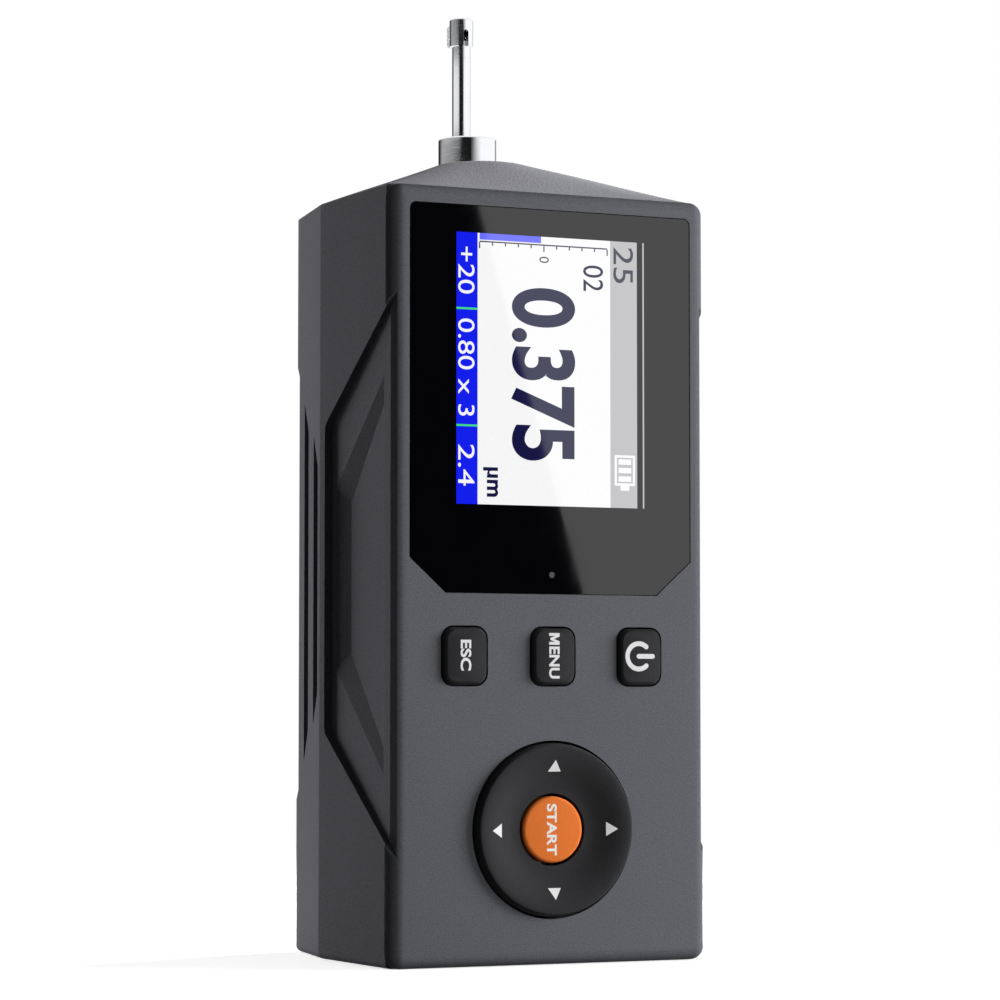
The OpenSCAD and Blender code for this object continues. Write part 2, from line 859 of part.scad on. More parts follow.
module front_cover() {
    color([0.36, 0.365, 0.385])
        difference() {
            union() {
                cover_block();
                lip();
                at_screws() {
                    front_pin(boss_shoulder_r, cover_t - eps, board_depth, 0, 0);
                    front_pin(boss_r, cover_t - eps, boss_end - seat_fit, 0, 0);
                }
            }
            both_sides()
                grip_cut();
            front_extrude(-cut, lens_pocket)
                polygon(lens_outline(lens_gap));
            front_extrude(-cut, cover_t + cut)
                translate([0, lcd_view_mid])
                    square([lcd_view_w + 2 * lens_gap, lcd_view_h + 2 * lens_gap], center = true);
            front_pin(pipe_dia / 2 + run_fit, -cut, cover_t + cut, 0, pipe_z);
            for (i = [-1 : 1])
                front_extrude(-cut, cover_t + cut)
                    translate([i * key_pitch, key_z])
                        round_rect(key_open_w, key_open_h, key_open_r);
            front_pin(ring_open_r, -cut, cover_t + cut, 0, ring_z);
            at_screws()
                front_pin(screw_r + run_fit, screw_seat - screw_len - 2 * cut, body_d, 0, 0);
        }
}

module display_lens() {
    color([0.02, 0.02, 0.025])
        difference() {
            front_extrude(lens_sunk, lens_sunk + lens_t)
                polygon(lens_outline(0));
            front_pin(pipe_dia / 2 + run_fit, -cut, cover_t, 0, pipe_z);
        }
}

module light_pipe() {
    color([0.85, 0.88, 0.9])
        front_pin(pipe_dia / 2, lens_sunk + seat_fit, board_depth, 0, pipe_z);
}

module lcd_module() {
    color([0.9, 0.92, 0.95])
        front_extrude(lcd_depth, lcd_back)
            translate([0, lcd_view_mid])
                square([lcd_w, lcd_h], center = true);
}

module lcd_tray() {
    color([0.15, 0.15, 0.16])
        front_extrude(lcd_back, board_depth)
            translate([0, lcd_view_mid])
                difference() {
                    square([lcd_w, lcd_h], center = true);
                    square([lcd_w - 2 * tray_rim, lcd_h - 2 * tray_rim], center = true);
                }
}

// One key: a tapered cap with a rolled edge, a shank in the cover and a flange behind it
module key(i) {
    roll = key_proud / 2;
    color([0.13, 0.13, 0.13])
        translate([i * key_pitch, 0, key_z]) {
            hull() {
                front_extrude(0, cover_t)
                    round_rect(key_w, key_h, key_r);
                for (k = [0 : key_steps]) {
                    a = 90 * k / key_steps;
                    inset = key_taper + roll * (1 - cos(a)) / 2;
                    rise = key_proud - roll * (1 - sin(a));
                    front_extrude(-rise, -rise + eps)
                        round_rect(key_w - 2 * inset, key_h - 2 * inset, key_r - inset / 2);
                }
            }
            front_extrude(cover_t - eps, flange_depth)
                round_rect(key_w, key_h, key_r);
            front_extrude(flange_depth, flange_depth + flange_t)
                round_rect(key_open_w + 2 * key_flange, key_open_h + 2 * key_flange, key_open_r);
        }
}

module esc_key() {
    key(-1);
}

module menu_key() {
    key(0);
}

module power_key() {
    key(1);
}

// Height of the ring's front surface above the cover at a radius inside the crest
function dish_height(r) =
    let (t = (r - ring_hole_r) / (ring_crest_r - ring_hole_r))
    -ring_dip + (ring_proud + ring_dip) * (1 - cos(180 * t)) / 2;

// Height of the ring's outer shoulder
function shoulder_height(r) =
    let (t = (r - ring_crest_r) / (ring_r - ring_crest_r))
    -ring_edge_depth + (ring_proud + ring_edge_depth) * sqrt(max(0, 1 - t * t));

module nav_ring() {
    dish = [
        for (k = [0 : ring_steps])
            let (r = ring_hole_r + (ring_crest_r - ring_hole_r) * k / ring_steps)
            [r, dish_height(r)]
    ];
    shoulder = [
        for (k = [1 : ring_steps])
            let (r = ring_crest_r + (ring_r - ring_crest_r) * sin(90 * k / ring_steps))
            [r, shoulder_height(r)]
    ];
    color([0.07, 0.07, 0.075]) {
        front_turn(0, ring_z)
            polygon(concat(
                dish,
                shoulder,
                [
                    [ring_r, -ring_flange_depth], [ring_flange_r, -ring_flange_depth],
                    [ring_flange_r, -ring_back], [ring_hole_r, -ring_back]
                ]
            ));
        for (s = [-1, 1])
            difference() {
                translate([0, front_y + ring_back - eps, ring_z + s * (lug_in + lug_len / 2)])
                    translate([-lug_w / 2, 0, -lug_len / 2])
                        cube([lug_w, pivot_depth + gimbal_t / 2 - ring_back, lug_len]);
                translate([0, front_y + pivot_depth, ring_z + s * (lug_in + lug_len / 2)])
                    cylinder(r = trunnion_r + run_fit, h = lug_len + 2 * cut, center = true);
            }
    }
}

module nav_gimbal() {
    pin_len = lug_in + lug_len - seat_fit;
    near = pivot_depth - gimbal_t / 2;
    color([0.5, 0.5, 0.5]) {
        translate([0, front_y + near, ring_z])
            rotate([-90, 0, 0])
                difference() {
                    cylinder(r = gimbal_r, h = gimbal_t);
                    translate([0, 0, -cut])
                        cylinder(r = gimbal_r - gimbal_wall, h = gimbal_t + 2 * cut);
                }
        for (s = [-1, 1]) {
            translate([0, front_y + pivot_depth, ring_z])
                rotate([s * 90 - 90, 0, 0])
                    translate([0, 0, gimbal_r - gimbal_wall / 2])
                        cylinder(r = trunnion_r, h = pin_len - gimbal_r + gimbal_wall / 2);
            translate([0, front_y + pivot_depth, ring_z])
                rotate([0, s * 90, 0])
                    translate([0, 0, gimbal_r - gimbal_wall / 2])
                        cylinder(r = trunnion_r, h = pin_len - gimbal_r + gimbal_wall / 2);
        }
    }
}

module nav_base() {
    disc_depth = board_depth - nav_disc_t;
    post_near = pivot_depth - lug_w / 2 + post_shy;
    color([0.3, 0.3, 0.32])
        difference() {
            union() {
                front_pin(nav_disc_r, disc_depth, board_depth, 0, ring_z);
                front_pin(guide_sleeve_r, guide_sleeve_depth, board_depth, 0, ring_z);
                for (s = [-1, 1])
                    translate([s * (lug_in + lug_len / 2), front_y + post_near, ring_z])
                        translate([-lug_len / 2, 0, -lug_w / 2])
                            cube([lug_len, board_depth - post_near, lug_w]);
            }
            front_pin(start_stem_r + run_fit, guide_sleeve_depth - cut, disc_depth, 0, ring_z);
            translate([-body_w / 2, front_y + pivot_depth, ring_z])
                rotate([0, 90, 0])
                    difference() {
                        cylinder(r = trunnion_r + run_fit, h = body_w);
                        translate([0, 0, body_w / 2 - guide_sleeve_r - cut])
                            cylinder(r = 2 * trunnion_r, h = 2 * guide_sleeve_r + 2 * cut);
                    }
        }
}

module start_button() {
    stem_end = board_depth - nav_disc_t - press_travel - seat_fit;
    r = start_edge_r;
    color([0.88, 0.43, 0.13])
        front_turn(0, ring_z)
            polygon(concat(
                [[0, -stem_end], [start_stem_r, -stem_end], [start_stem_r, start_proud - start_cap_t]],
                [[start_r, start_proud - start_cap_t]],
                [
                    for (k = [0 : arc_steps])
                        let (a = 90 * k / arc_steps)
                        [start_r - r + r * cos(a), start_proud - r + r * sin(a)]
                ],
                [[0, start_proud]]
            ));
}

// Board outline less the holes for the screw bosses
module board_outline() {
    difference() {
        translate([0, (board_low + board_top) / 2])
            square([2 * board_half, board_top - board_low], center = true);
        for (x = [-screw_x, screw_x])
            for (z = [screw_low_z, screw_top_z])
                translate([x, z])
                    circle(r = boss_r + boss_hole_gap);
    }
}

module main_board() {
    color([0.05, 0.3, 0.15])
        front_extrude(board_depth, board_back)
            board_outline();
}

module board_chips() {
    color([0.08, 0.08, 0.09])
        for (chip = chips)
            front_extrude(board_back, board_back + chip_t)
                translate([chip[0], lens_low + chip[1]])
                    square([chip[2], chip[3]], center = true);
}

module keypad_mat() {
    low = screw_low_z - boss_shoulder_r + mat_edge;
    high = lens_low - 2 * mat_edge;
    color([0.2, 0.2, 0.2])
        difference() {
            front_extrude(mat_depth, board_depth)
                translate([0, (low + high) / 2])
                    square([2 * board_half, high - low], center = true);
            front_pin(ring_clear_r, mat_depth - cut, board_depth + cut, 0, ring_z);
            for (i = [-1 : 1])
                front_pin(
                    dome_r + dome_pocket, mat_depth + mat_skin, board_depth + cut, i * key_pitch, key_z
                );
            for (x = [-screw_x, screw_x])
                front_pin(
                    boss_shoulder_r + boss_hole_gap, mat_depth - cut, board_depth + cut, x, screw_low_z
                );
        }
}

module dome_switches() {
    color([0.75, 0.76, 0.78])
        for (i = [-1 : 1])
            front_pin(dome_r, board_depth - dome_t, board_depth, i * key_pitch, key_z);
}

// Receptacle with its tongue, soldered to the back of the board
module usb_socket() {
    color([0.75, 0.76, 0.78])
        translate([0, front_y + usb_depth, usb_in]) {
            difference() {
                linear_extrude(usb_len)
                    round_rect(usb_w, usb_t, usb_t / 2 - eps);
                translate([0, 0, -cut])
                    linear_extrude(usb_len - usb_end + cut)
                        round_rect(usb_w - 2 * usb_wall, usb_t - 2 * usb_wall, usb_t / 2 - usb_wall - eps);
            }
            translate([-usb_tongue_w / 2, -usb_tongue_t / 2, usb_tongue_in])
                cube([usb_tongue_w, usb_tongue_t, usb_len - usb_end / 2 - usb_tongue_in]);
        }
}

module battery() {
    color([0.3, 0.45, 0.75])
        front_extrude(battery_depth, battery_depth + battery_t)
            translate([0, battery_mid_z])
                round_rect(battery_w, battery_len, battery_r);
}

module case_screws() {
    color([0.6, 0.6, 0.62])
        at_screws()
            difference() {
                union() {
                    front_pin(screw_r, screw_seat - screw_len, screw_seat + eps, 0, 0);
                    front_pin(screw_head_r, screw_seat, screw_seat + screw_head_t, 0, 0);
                }
                translate([0, front_y + screw_seat + screw_head_t + eps, 0])
                    rotate([90, 0, 0])
                        cylinder(r = screw_head_r / 2, h = screw_head_t / 2, $fn = hex_sides);
            }
}

// Bent plate with two shelves that carry the rods, the screw and the motor
module drive_frame() {
    shelf_len = frame_back - frame_depth;
    color([0.7, 0.71, 0.73])
        difference() {
            union() {
                translate([-frame_w / 2, front_y + frame_depth, frame_low])
                    cube([frame_w, frame_t, frame_top - frame_low]);
                for (z = [frame_low, frame_top - plate_t])
                    translate([-frame_w / 2, front_y + frame_depth, z])
                        cube([frame_w, shelf_len, plate_t]);
            }
            for (x = [-guide_x, guide_x])
                translate([x, axis_y, frame_low - cut])
                    cylinder(r = guide_r + run_fit, h = frame_top - frame_low + 2 * cut);
            translate([-lead_offset, axis_y, frame_low - cut])
                cylinder(r = shaft_r + shaft_clear, h = plate_t + 2 * cut);
            translate([-lead_offset, axis_y, frame_top - plate_t - cut])
                cylinder(r = bush_r + run_fit, h = plate_t + 2 * cut);
            translate([0, axis_y, frame_top - plate_t - cut])
                cylinder(r = pickup_r + pickup_clear, h = plate_t + 2 * cut);
        }
}

module guide_rods() {
    color([0.8, 0.81, 0.82])
        for (x = [-guide_x, guide_x])
            translate([x, axis_y, frame_low])
                cylinder(r = guide_r, h = frame_top - frame_low);
}

module drive_motor() {
    color([0.62, 0.63, 0.65])
        translate([-lead_offset, axis_y, frame_low - motor_len])
            cylinder(r = motor_r, h = motor_len - gearhead_len);
}

module gearhead() {
    color([0.75, 0.65, 0.35])
        translate([-lead_offset, axis_y, frame_low - gearhead_len])
            difference() {
                cylinder(r = motor_r, h = gearhead_len);
                translate([0, 0, gearhead_len / 2])
                    cylinder(r = shaft_r + run_fit, h = gearhead_len);
            }
}

module motor_shaft() {
    low = frame_low - gearhead_len / 2 + seat_fit;
    color([0.8, 0.81, 0.82])
        translate([-lead_offset, axis_y, low])
            cylinder(r = shaft_r, h = shaft_top - low);
}

module screw_coupling() {
    color([0.75, 0.65, 0.35])
        translate([-lead_offset, axis_y, coupling_low])
            difference() {
                cylinder(r = coupling_r, h = coupling_top - coupling_low);
                translate([0, 0, -cut])
                    cylinder(r = shaft_r + run_fit / 2, h = coupling_top);
                translate([0, 0, lead_low - coupling_low - run_fit])
                    cylinder(r = lead_r + run_fit / 2, h = coupling_top);
            }
}

module lead_screw() {
    color([0.8, 0.81, 0.82])
        translate([-lead_offset, axis_y, lead_low])
            cylinder(r = lead_r, h = frame_top - lead_low);
}

module screw_bush() {
    color([0.75, 0.65, 0.35])
        translate([-lead_offset, axis_y, frame_top - plate_t - bush_flange_t])
            difference() {
                union() {
                    cylinder(r = bush_r, h = plate_t + bush_flange_t);
                    cylinder(r = bush_flange_r, h = bush_flange_t);
                }
                translate([0, 0, -cut])
                    cylinder(r = lead_r + run_fit, h = plate_t + bush_flange_t + 2 * cut);
            }
}

module carriage() {
    color([0.2, 0.2, 0.22])
        translate([0, axis_y, carriage_low])
            difference() {
                translate([-carriage_w / 2, -carriage_t / 2, 0])
                    cube([carriage_w, carriage_t, carriage_h]);
                for (x = [-guide_x, guide_x])
                    translate([x, 0, -cut])
                        cylinder(r = guide_r + run_fit, h = carriage_h + 2 * cut);
                translate([-lead_offset, 0, -cut])
                    cylinder(r = nut_r + run_fit / 2, h = carriage_h + 2 * cut);
                translate([0, 0, -cut])
                    cylinder(r = pickup_r + run_fit / 2, h = carriage_h + 2 * cut);
            }
}

module screw_nut() {
    color([0.75, 0.65, 0.35])
        translate([-lead_offset, axis_y, carriage_low - nut_flange_t])
            difference() {
                union() {
                    cylinder(r = nut_flange_r, h = nut_flange_t);
                    cylinder(r = nut_r, h = nut_flange_t + carriage_h);
                }
                translate([0, 0, -cut])
                    cylinder(r = lead_r + run_fit, h = carriage_h + nut_flange_t + 2 * cut);
            }
}

// Contacts of the plug-in pickup, on one circle
module at_pins() {
    for (i = [0 : pin_count - 1])
        translate([0, axis_y, 0])
            rotate([0, 0, 45 + 360 * i / pin_count])
                translate([pin_circle_r, 0, 0])
                    children();
}

module pickup_socket() {
    color([0.1, 0.1, 0.1])
        difference() {
            translate([0, axis_y, pickup_low - seat_fit - socket_t])
                cylinder(r = pickup_r, h = socket_t);
            at_pins()
                translate([0, 0, pickup_low - socket_t - 2 * cut])
                    cylinder(r = pin_r + run_fit, h = socket_t + 4 * cut);
        }
}

module pickup_plug() {
    color([0.15, 0.15, 0.16]) {
        translate([0, axis_y, pickup_low])
            cylinder(r = spigot_r, h = plug_t);
        at_pins()
            translate([0, 0, pickup_low - socket_t])
                cylinder(r = pin_r, h = socket_t + eps);
    }
}

module pickup_tube() {
    color([0.78, 0.79, 0.8])
        translate([0, axis_y, pickup_low])
            difference() {
                cylinder(r = pickup_r, h = nose_cap_low - pickup_low);
                translate([0, 0, -cut])
                    cylinder(r = pickup_in_r, h = pickup_len);
            }
}

// End cap of the pickup: it holds the nose tube and the ears of the lever's pivot
module pickup_nose() {
    color([0.78, 0.79, 0.8])
        difference() {
            union() {
                translate([0, axis_y, nose_cap_low])
                    cylinder(r = pickup_r, h = nose_cap_t);
                translate([0, axis_y, spigot_low])
                    cylinder(r = spigot_r, h = spigot_len + eps);
                for (s = [-1, 1])
                    translate([s * (ear_x + ear_t / 2) - ear_t / 2, tube_y - 2 * ear_half, ear_low])
                        cube([ear_t, 2 * ear_half + pivot_r, spigot_low - ear_low + eps]);
            }
            translate([0, tube_y, tube_low])
                cylinder(r = tube_r + run_fit / 2, h = pickup_len);
            translate([0, tube_y, spigot_low - cut])
                cylinder(r = tube_in_r, h = pickup_len);
            translate([-pickup_r, tube_y - ear_half, pivot_z])
                rotate([0, 90, 0])
                    cylinder(r = pivot_r + run_fit / 2, h = pickup_dia);
        }
}

module sensor_coils() {
    low = lever_low - coil_under;
    color([0.7, 0.4, 0.2])
        difference() {
            translate([0, axis_y, low])
                cylinder(r = coil_r, h = coil_len);
            translate([-pickup_r, tube_y - ear_half - coil_gap_half, low - cut])
                cube([pickup_dia, 2 * coil_gap_half, coil_len + 2 * cut]);
        }
}

module nose_collar() {
    color([0.82, 0.83, 0.85])
        translate([0, axis_y, 0])
            rotate_extrude()
                polygon([
                    [bore_r, collar_low], [collar_r, collar_low], [collar_r, collar_top - collar_bevel],
                    [collar_r - collar_bevel, collar_top], [bore_r, collar_top]
                ]);
}

// Slim tube with a thinner end that holds the head
module nose_tube() {
    color([0.85, 0.86, 0.88])
        translate([0, tube_y, tube_low])
            difference() {
                union() {
                    cylinder(r = tube_r, h = head_low - tube_low);
                    cylinder(r = tube_end_r, h = tube_top - tube_low);
                }
                translate([0, 0, -cut])
                    cylinder(r = tube_in_r, h = tube_top - tube_low + 2 * cut);
            }
}

// Hollow head with a round-ended slot in front and a window for the stylus behind
module skid_head() {
    b = head_bevel;
    color([0.82, 0.83, 0.85])
        difference() {
            translate([0, tube_y, 0])
                rotate_extrude()
                    polygon([
                        [tube_end_r + run_fit / 2, head_low], [head_r, head_low], [head_r, head_top - b],
                        [head_r - b, head_top], [0, head_top], [0, head_top - head_roof],
                        [head_in_r, head_top - head_roof], [head_in_r, tube_top + seat_fit],
                        [tube_end_r + run_fit / 2, tube_top + seat_fit]
                    ]);
            translate([-slot_w / 2, tube_y - 2 * head_r, head_low - cut])
                cube([slot_w, 2 * head_r, slot_len - slot_w / 2 + cut]);
            translate([0, tube_y, head_low + slot_len - slot_w / 2])
                rotate([90, 0, 0])
                    cylinder(r = slot_w / 2, h = 2 * head_r);
            skid_seat();
            translate([0, tube_y, stylus_z])
                rotate([-90, 0, 0])
                    cylinder(r = stylus_hole_r, h = 2 * head_r);
        }
}

// Flat on the back of the head that takes the skid
module skid_seat() {
    translate([-skid_w / 2 - run_fit, skid_base_y, skid_low - cut])
        cube([skid_w + 2 * run_fit, head_r, skid_len + cut + run_fit]);
}

module skid() {
    b = skid_bevel;
    h = skid_face_y - skid_base_y;
    color([0.88, 0.89, 0.9])
        difference() {
            translate([-skid_w / 2, skid_base_y, skid_low])
                rotate([90, 0, 90])
                    linear_extrude(skid_w)
                        polygon([
                            [0, 0], [h - b, 0], [h, b], [h, skid_len - b], [h - b, skid_len], [0, skid_len]
                        ]);
            translate([0, skid_base_y - cut, stylus_z])
                rotate([-90, 0, 0])
                    cylinder(r = stylus_hole_r, h = h + 2 * cut);
        }
}

module pivot_pin() {
    half = ear_x + ear_t;
    color([0.8, 0.81, 0.82])
        translate([-half, tube_y - ear_half, pivot_z])
            rotate([0, 90, 0])
                cylinder(r = pivot_r, h = 2 * half);
}

// Rod through the nose tube, its hub on the pivot and the core at its tail
module stylus_lever() {
    hub_y = tube_y - ear_half;
    color([0.7, 0.71, 0.73])
        difference() {
            union() {
                translate([0, tube_y, pivot_z])
                    cylinder(r = lever_r, h = lever_top - pivot_z);
                translate([-lever_hub_half, hub_y, pivot_z])
                    rotate([0, 90, 0])
                        cylinder(r = lever_hub_r, h = 2 * lever_hub_half);
                translate([-lever_r, hub_y, pivot_z - lever_hub_r])
                    cube([2 * lever_r, ear_half, 2 * lever_hub_r]);
                translate([0, hub_y, lever_low])
                    cylinder(r = lever_r, h = lever_tail);
                translate([0, hub_y, lever_low])
                    cylinder(r = core_r, h = core_len);
            }
            translate([-pickup_r, hub_y, pivot_z])
                rotate([0, 90, 0])
                    cylinder(r = pivot_r + run_fit, h = pickup_dia);
        }
}

module stylus_tip() {
    reach_y = skid_face_y + stylus_proud - tube_y;
    color([0.5, 0.45, 0.4])
        translate([0, tube_y, stylus_z])
            rotate([-90, 0, 0])
                difference() {
                    union() {
                        cylinder(r = stylus_shank_r, h = reach_y - stylus_cone);
                        translate([0, 0, reach_y - stylus_cone])
                            cylinder(r1 = stylus_shank_r, r2 = stylus_point_r, h = stylus_cone);
                    }
                    rotate([90, 0, 0])
                        translate([0, 0, -cut])
                            cylinder(r = lever_r, h = 2 * cut);
                }
}

front_cover();
rear_housing();
display_lens();
light_pipe();
lcd_module();
lcd_tray();
esc_key();
menu_key();
power_key();
nav_ring();
nav_gimbal();
nav_base();
start_button();
keypad_mat();
dome_switches();
main_board();
board_chips();
usb_socket();
battery();
case_screws();
drive_frame();
guide_rods();
drive_motor();
gearhead();
motor_shaft();
screw_coupling();
lead_screw();
screw_bush();
screw_nut();
carriage();
pickup_socket();
pickup_plug();
pickup_tube();
pickup_nose();
sensor_coils();
nose_collar();
nose_tube();
skid_head();
skid();
pivot_pin();
stylus_lever();
stylus_tip();
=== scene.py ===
"""Dresses the CAD model of a hand-held surface roughness tester and lights it as on a studio table."""

import json
import math

import bpy
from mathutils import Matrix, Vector
from mathutils.bvhtree import BVHTree

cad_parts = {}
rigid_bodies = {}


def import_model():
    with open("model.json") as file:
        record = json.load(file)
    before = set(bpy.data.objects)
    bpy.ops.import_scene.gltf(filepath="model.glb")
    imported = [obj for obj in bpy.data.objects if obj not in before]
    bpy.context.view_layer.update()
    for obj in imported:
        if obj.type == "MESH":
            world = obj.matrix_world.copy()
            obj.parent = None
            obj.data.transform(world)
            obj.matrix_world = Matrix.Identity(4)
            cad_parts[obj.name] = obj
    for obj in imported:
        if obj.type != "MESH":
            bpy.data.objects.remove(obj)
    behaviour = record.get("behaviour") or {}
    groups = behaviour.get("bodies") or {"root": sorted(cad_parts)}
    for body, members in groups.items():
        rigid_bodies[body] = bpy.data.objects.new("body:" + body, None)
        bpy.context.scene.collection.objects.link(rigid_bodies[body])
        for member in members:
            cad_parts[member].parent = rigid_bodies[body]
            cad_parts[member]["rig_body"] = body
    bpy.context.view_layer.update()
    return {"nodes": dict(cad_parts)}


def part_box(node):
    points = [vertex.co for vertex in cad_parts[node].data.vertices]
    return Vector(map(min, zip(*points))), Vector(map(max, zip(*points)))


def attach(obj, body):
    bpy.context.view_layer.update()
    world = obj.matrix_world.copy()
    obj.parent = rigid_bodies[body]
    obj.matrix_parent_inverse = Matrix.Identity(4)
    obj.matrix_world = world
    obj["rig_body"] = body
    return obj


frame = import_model()
nodes = frame["nodes"]
scene = bpy.context.scene

MM = 0.001

# Camera, in mm and degrees: it stands left of the tester, low, and looks slightly up.
CAMERA_AT = (-250.695, -532.1, 41.008)
CAMERA_YAW = 25.412
CAMERA_PITCH = 3.321
CAMERA_LENS = 127.848

# Print and display layers, in mm: ink above its surface, one display layer above the next.
# Rays that look for a surface start in front of the tester.
INK_LIFT = 0.02
LAYER_LIFT = 0.012
RAY_START = -60.0

# Textures are blended between these two levels; tool lines shade and roughen metal by these shares.
BLEND_LOW, BLEND_HIGH = 0.3, 0.7
LINE_SHADE = 0.94
LINE_SPREAD = 0.3

# Gloss of the lens, and the glow painted into the white print, though it is no lamp, so that it stays
# bright in shade.
LENS_GLOSS = 0.86
PRINT_PAINTED_GLOW = 0.32

# Edges flatter than this angle, in degrees, are shaded smooth; points closer than WELD mm are welded.
# On the sides of the housing, within this box in mm, only edges flatter than the crisp angle are.
SMOOTH_ANGLE = 28.0
CRISP_ANGLE = 8.5
CRISP_MIDDLE = (0.0, 0.0, 62.0)
CRISP_HALF = (40.0, 21.5, 52.0)
WELD = 0.0005


# Materials


def tone(*levels):
    """Linear colour, with alpha, of an sRGB colour given in 0 to 255."""

    def linear(level):
        share = level / 255
        return share / 12.92 if share <= 0.04045 else ((share + 0.055) / 1.055) ** 2.4

    return (*(linear(level) for level in levels), 1.0)


def shaded(colour, factor):
    """The colour made lighter or darker by a factor."""
    return (*(min(1.0, channel * factor) for channel in colour[:3]), 1.0)


def new_material(name, sockets):
    """A Principled material with the given socket values."""
    material = bpy.data.materials.new(name)
    material.use_nodes = True
    shader = material.node_tree.nodes["Principled BSDF"]
    for socket, value in sockets.items():
        shader.inputs[socket].default_value = value
    return material, material.node_tree, shader


def texture(tree, kind, size, stretch=(1, 1, 1), detail=2.0):
    """A texture in object space with features about size mm across."""
    place = tree.nodes.new("ShaderNodeTexCoord")
    mapping = tree.nodes.new("ShaderNodeMapping")
    mapping.inputs["Scale"].default_value = stretch
    node = tree.nodes.new(kind)
    node.inputs["Scale"].default_value = 1 / (size * MM)
    node.inputs["Detail"].default_value = detail
    tree.links.new(place.outputs["Object"], mapping.inputs["Vector"])
    tree.links.new(mapping.outputs["Vector"], node.inputs["Vector"])
    return node.outputs["Distance" if kind == "ShaderNodeTexVoronoi" else "Fac"]


def colour_between(tree, source, low, high, socket):
    """Feeds a colour socket with a blend of two colours along a texture."""
    blend = tree.nodes.new("ShaderNodeValToRGB")
    blend.color_ramp.elements[0].position = BLEND_LOW
    blend.color_ramp.elements[0].color = low
    blend.color_ramp.elements[1].position = BLEND_HIGH
    blend.color_ramp.elements[1].color = high
    tree.links.new(source, blend.inputs["Fac"])
    tree.links.new(blend.outputs["Color"], socket)


def value_between(tree, source, low, high, socket):
    """Feeds a value socket with a range of values along a texture."""
    spread = tree.nodes.new("ShaderNodeMapRange")
    spread.inputs["From Min"].default_value = BLEND_LOW
    spread.inputs["From Max"].default_value = BLEND_HIGH
    spread.inputs["To Min"].default_value = low
    spread.inputs["To Max"].default_value = high
    tree.links.new(source, spread.inputs["Value"])
    tree.links.new(spread.outputs["Result"], socket)


def relief(tree, source, height, socket):
    """Feeds a normal socket with a bump of the given height in mm."""
    bump = tree.nodes.new("ShaderNodeBump")
    bump.inputs["Distance"].default_value = height * MM
    tree.links.new(source, bump.inputs["Height"])
    tree.links.new(bump.outputs["Normal"], socket)


def moulded(name, colour, rough, gloss, grain, height, cells=False, mottle=0.08, spread=0.06):
    """Moulded plastic or rubber with a fine mottle and a raised grain, with size and height in mm."""
    material, tree, shader = new_material(name, {"Specular IOR Level": gloss})
    kind = "ShaderNodeTexVoronoi" if cells else "ShaderNodeTexNoise"
    grains = texture(tree, kind, grain, detail=1.0 if cells else 2.0)
    low, high = shaded(colour, 1 - mottle), shaded(colour, 1 + mottle)
    colour_between(tree, grains, low, high, shader.inputs["Base Color"])
    value_between(tree, grains, rough - spread, rough + spread, shader.inputs["Roughness"])
    if height:
        relief(tree, grains, height, shader.inputs["Normal"])
    return material


def turned(name, colour, rough, lines=0.12, along=(0.05, 0.05, 1.0), height=0.0004):
    """Machined metal with fine tool lines across its axis."""
    material, tree, shader = new_material(name, {"Metallic": 1.0})
    marks = texture(tree, "ShaderNodeTexNoise", lines, along)
    colour_between(tree, marks, shaded(colour, LINE_SHADE), colour, shader.inputs["Base Color"])
    smoother, rougher = rough * (1 - LINE_SPREAD), rough * (1 + LINE_SPREAD)
    value_between(tree, marks, smoother, rougher, shader.inputs["Roughness"])
    relief(tree, marks, height, shader.inputs["Normal"])
    return material


def lit(name, colour, strength=1.0, cell=0.3, fade=0.97):
    """A lit display colour under gloss glass, with a faint pixel mottle."""
    sockets = {
        "Base Color": tone(4, 4, 6),
        "Roughness": 0.03,
        "Specular IOR Level": LENS_GLOSS,
        "Emission Strength": strength,
    }
    material, tree, shader = new_material(name, sockets)
    pixels = texture(tree, "ShaderNodeTexNoise", cell)
    colour_between(tree, pixels, shaded(colour, fade), colour, shader.inputs["Emission Color"])
    return material


# Plastics, glass and print: colour, roughness, gloss, then size and height of the grain in mm
cover_plastic = moulded("cover_plastic", tone(89, 90, 95), 0.62, 0.015, 0.22, 0.014, mottle=0.2)
housing_plastic = moulded(
    "housing_plastic", tone(80, 80, 84), 0.6, 0.012, 0.45, 0.032, cells=True, mottle=0.17
)
key_plastic = moulded("key_plastic", tone(43, 43, 45), 0.5, 0.04, 0.18, 0.008, mottle=0.12)
ring_plastic = moulded("ring_plastic", tone(55, 55, 57), 0.52, 0.02, 0.18, 0.006, mottle=0.12)
start_plastic = moulded("start_plastic", tone(203, 106, 44), 0.5, 0.12, 0.2, 0.004, mottle=0.05)
lens_gloss = moulded("lens_gloss", tone(4, 4, 6), 0.03, LENS_GLOSS, 6.0, 0, spread=0.01)
pipe_plastic = moulded("pipe_plastic", tone(66, 66, 68), 0.2, 0.5, 0.3, 0.001)
ceramic = moulded("ceramic", tone(222, 222, 224), 0.35, 0.4, 0.3, 0.001, mottle=0.04)
nylon = moulded("nylon", tone(214, 212, 204), 0.5, 0.35, 0.3, 0.002)
silicone = moulded("silicone", tone(120, 124, 130), 0.7, 0.2, 0.25, 0.002)
board_green = moulded("board_green", tone(22, 84, 52), 0.35, 0.5, 0.9, 0.004, cells=True, mottle=0.2)
chip_black = moulded("chip_black", tone(30, 30, 32), 0.6, 0.3, 0.1, 0.003)
acetal = moulded("acetal", tone(34, 34, 36), 0.5, 0.35, 0.25, 0.002)
battery_wrap = moulded("battery_wrap", tone(150, 158, 170), 0.4, 0.5, 0.8, 0.004)
lcd_glass = moulded("lcd_glass", tone(70, 78, 74), 0.12, 0.5, 0.3, 0.0002)
tip_stone = moulded("tip_stone", tone(60, 64, 70), 0.08, 0.8, 0.05, 0.0001)
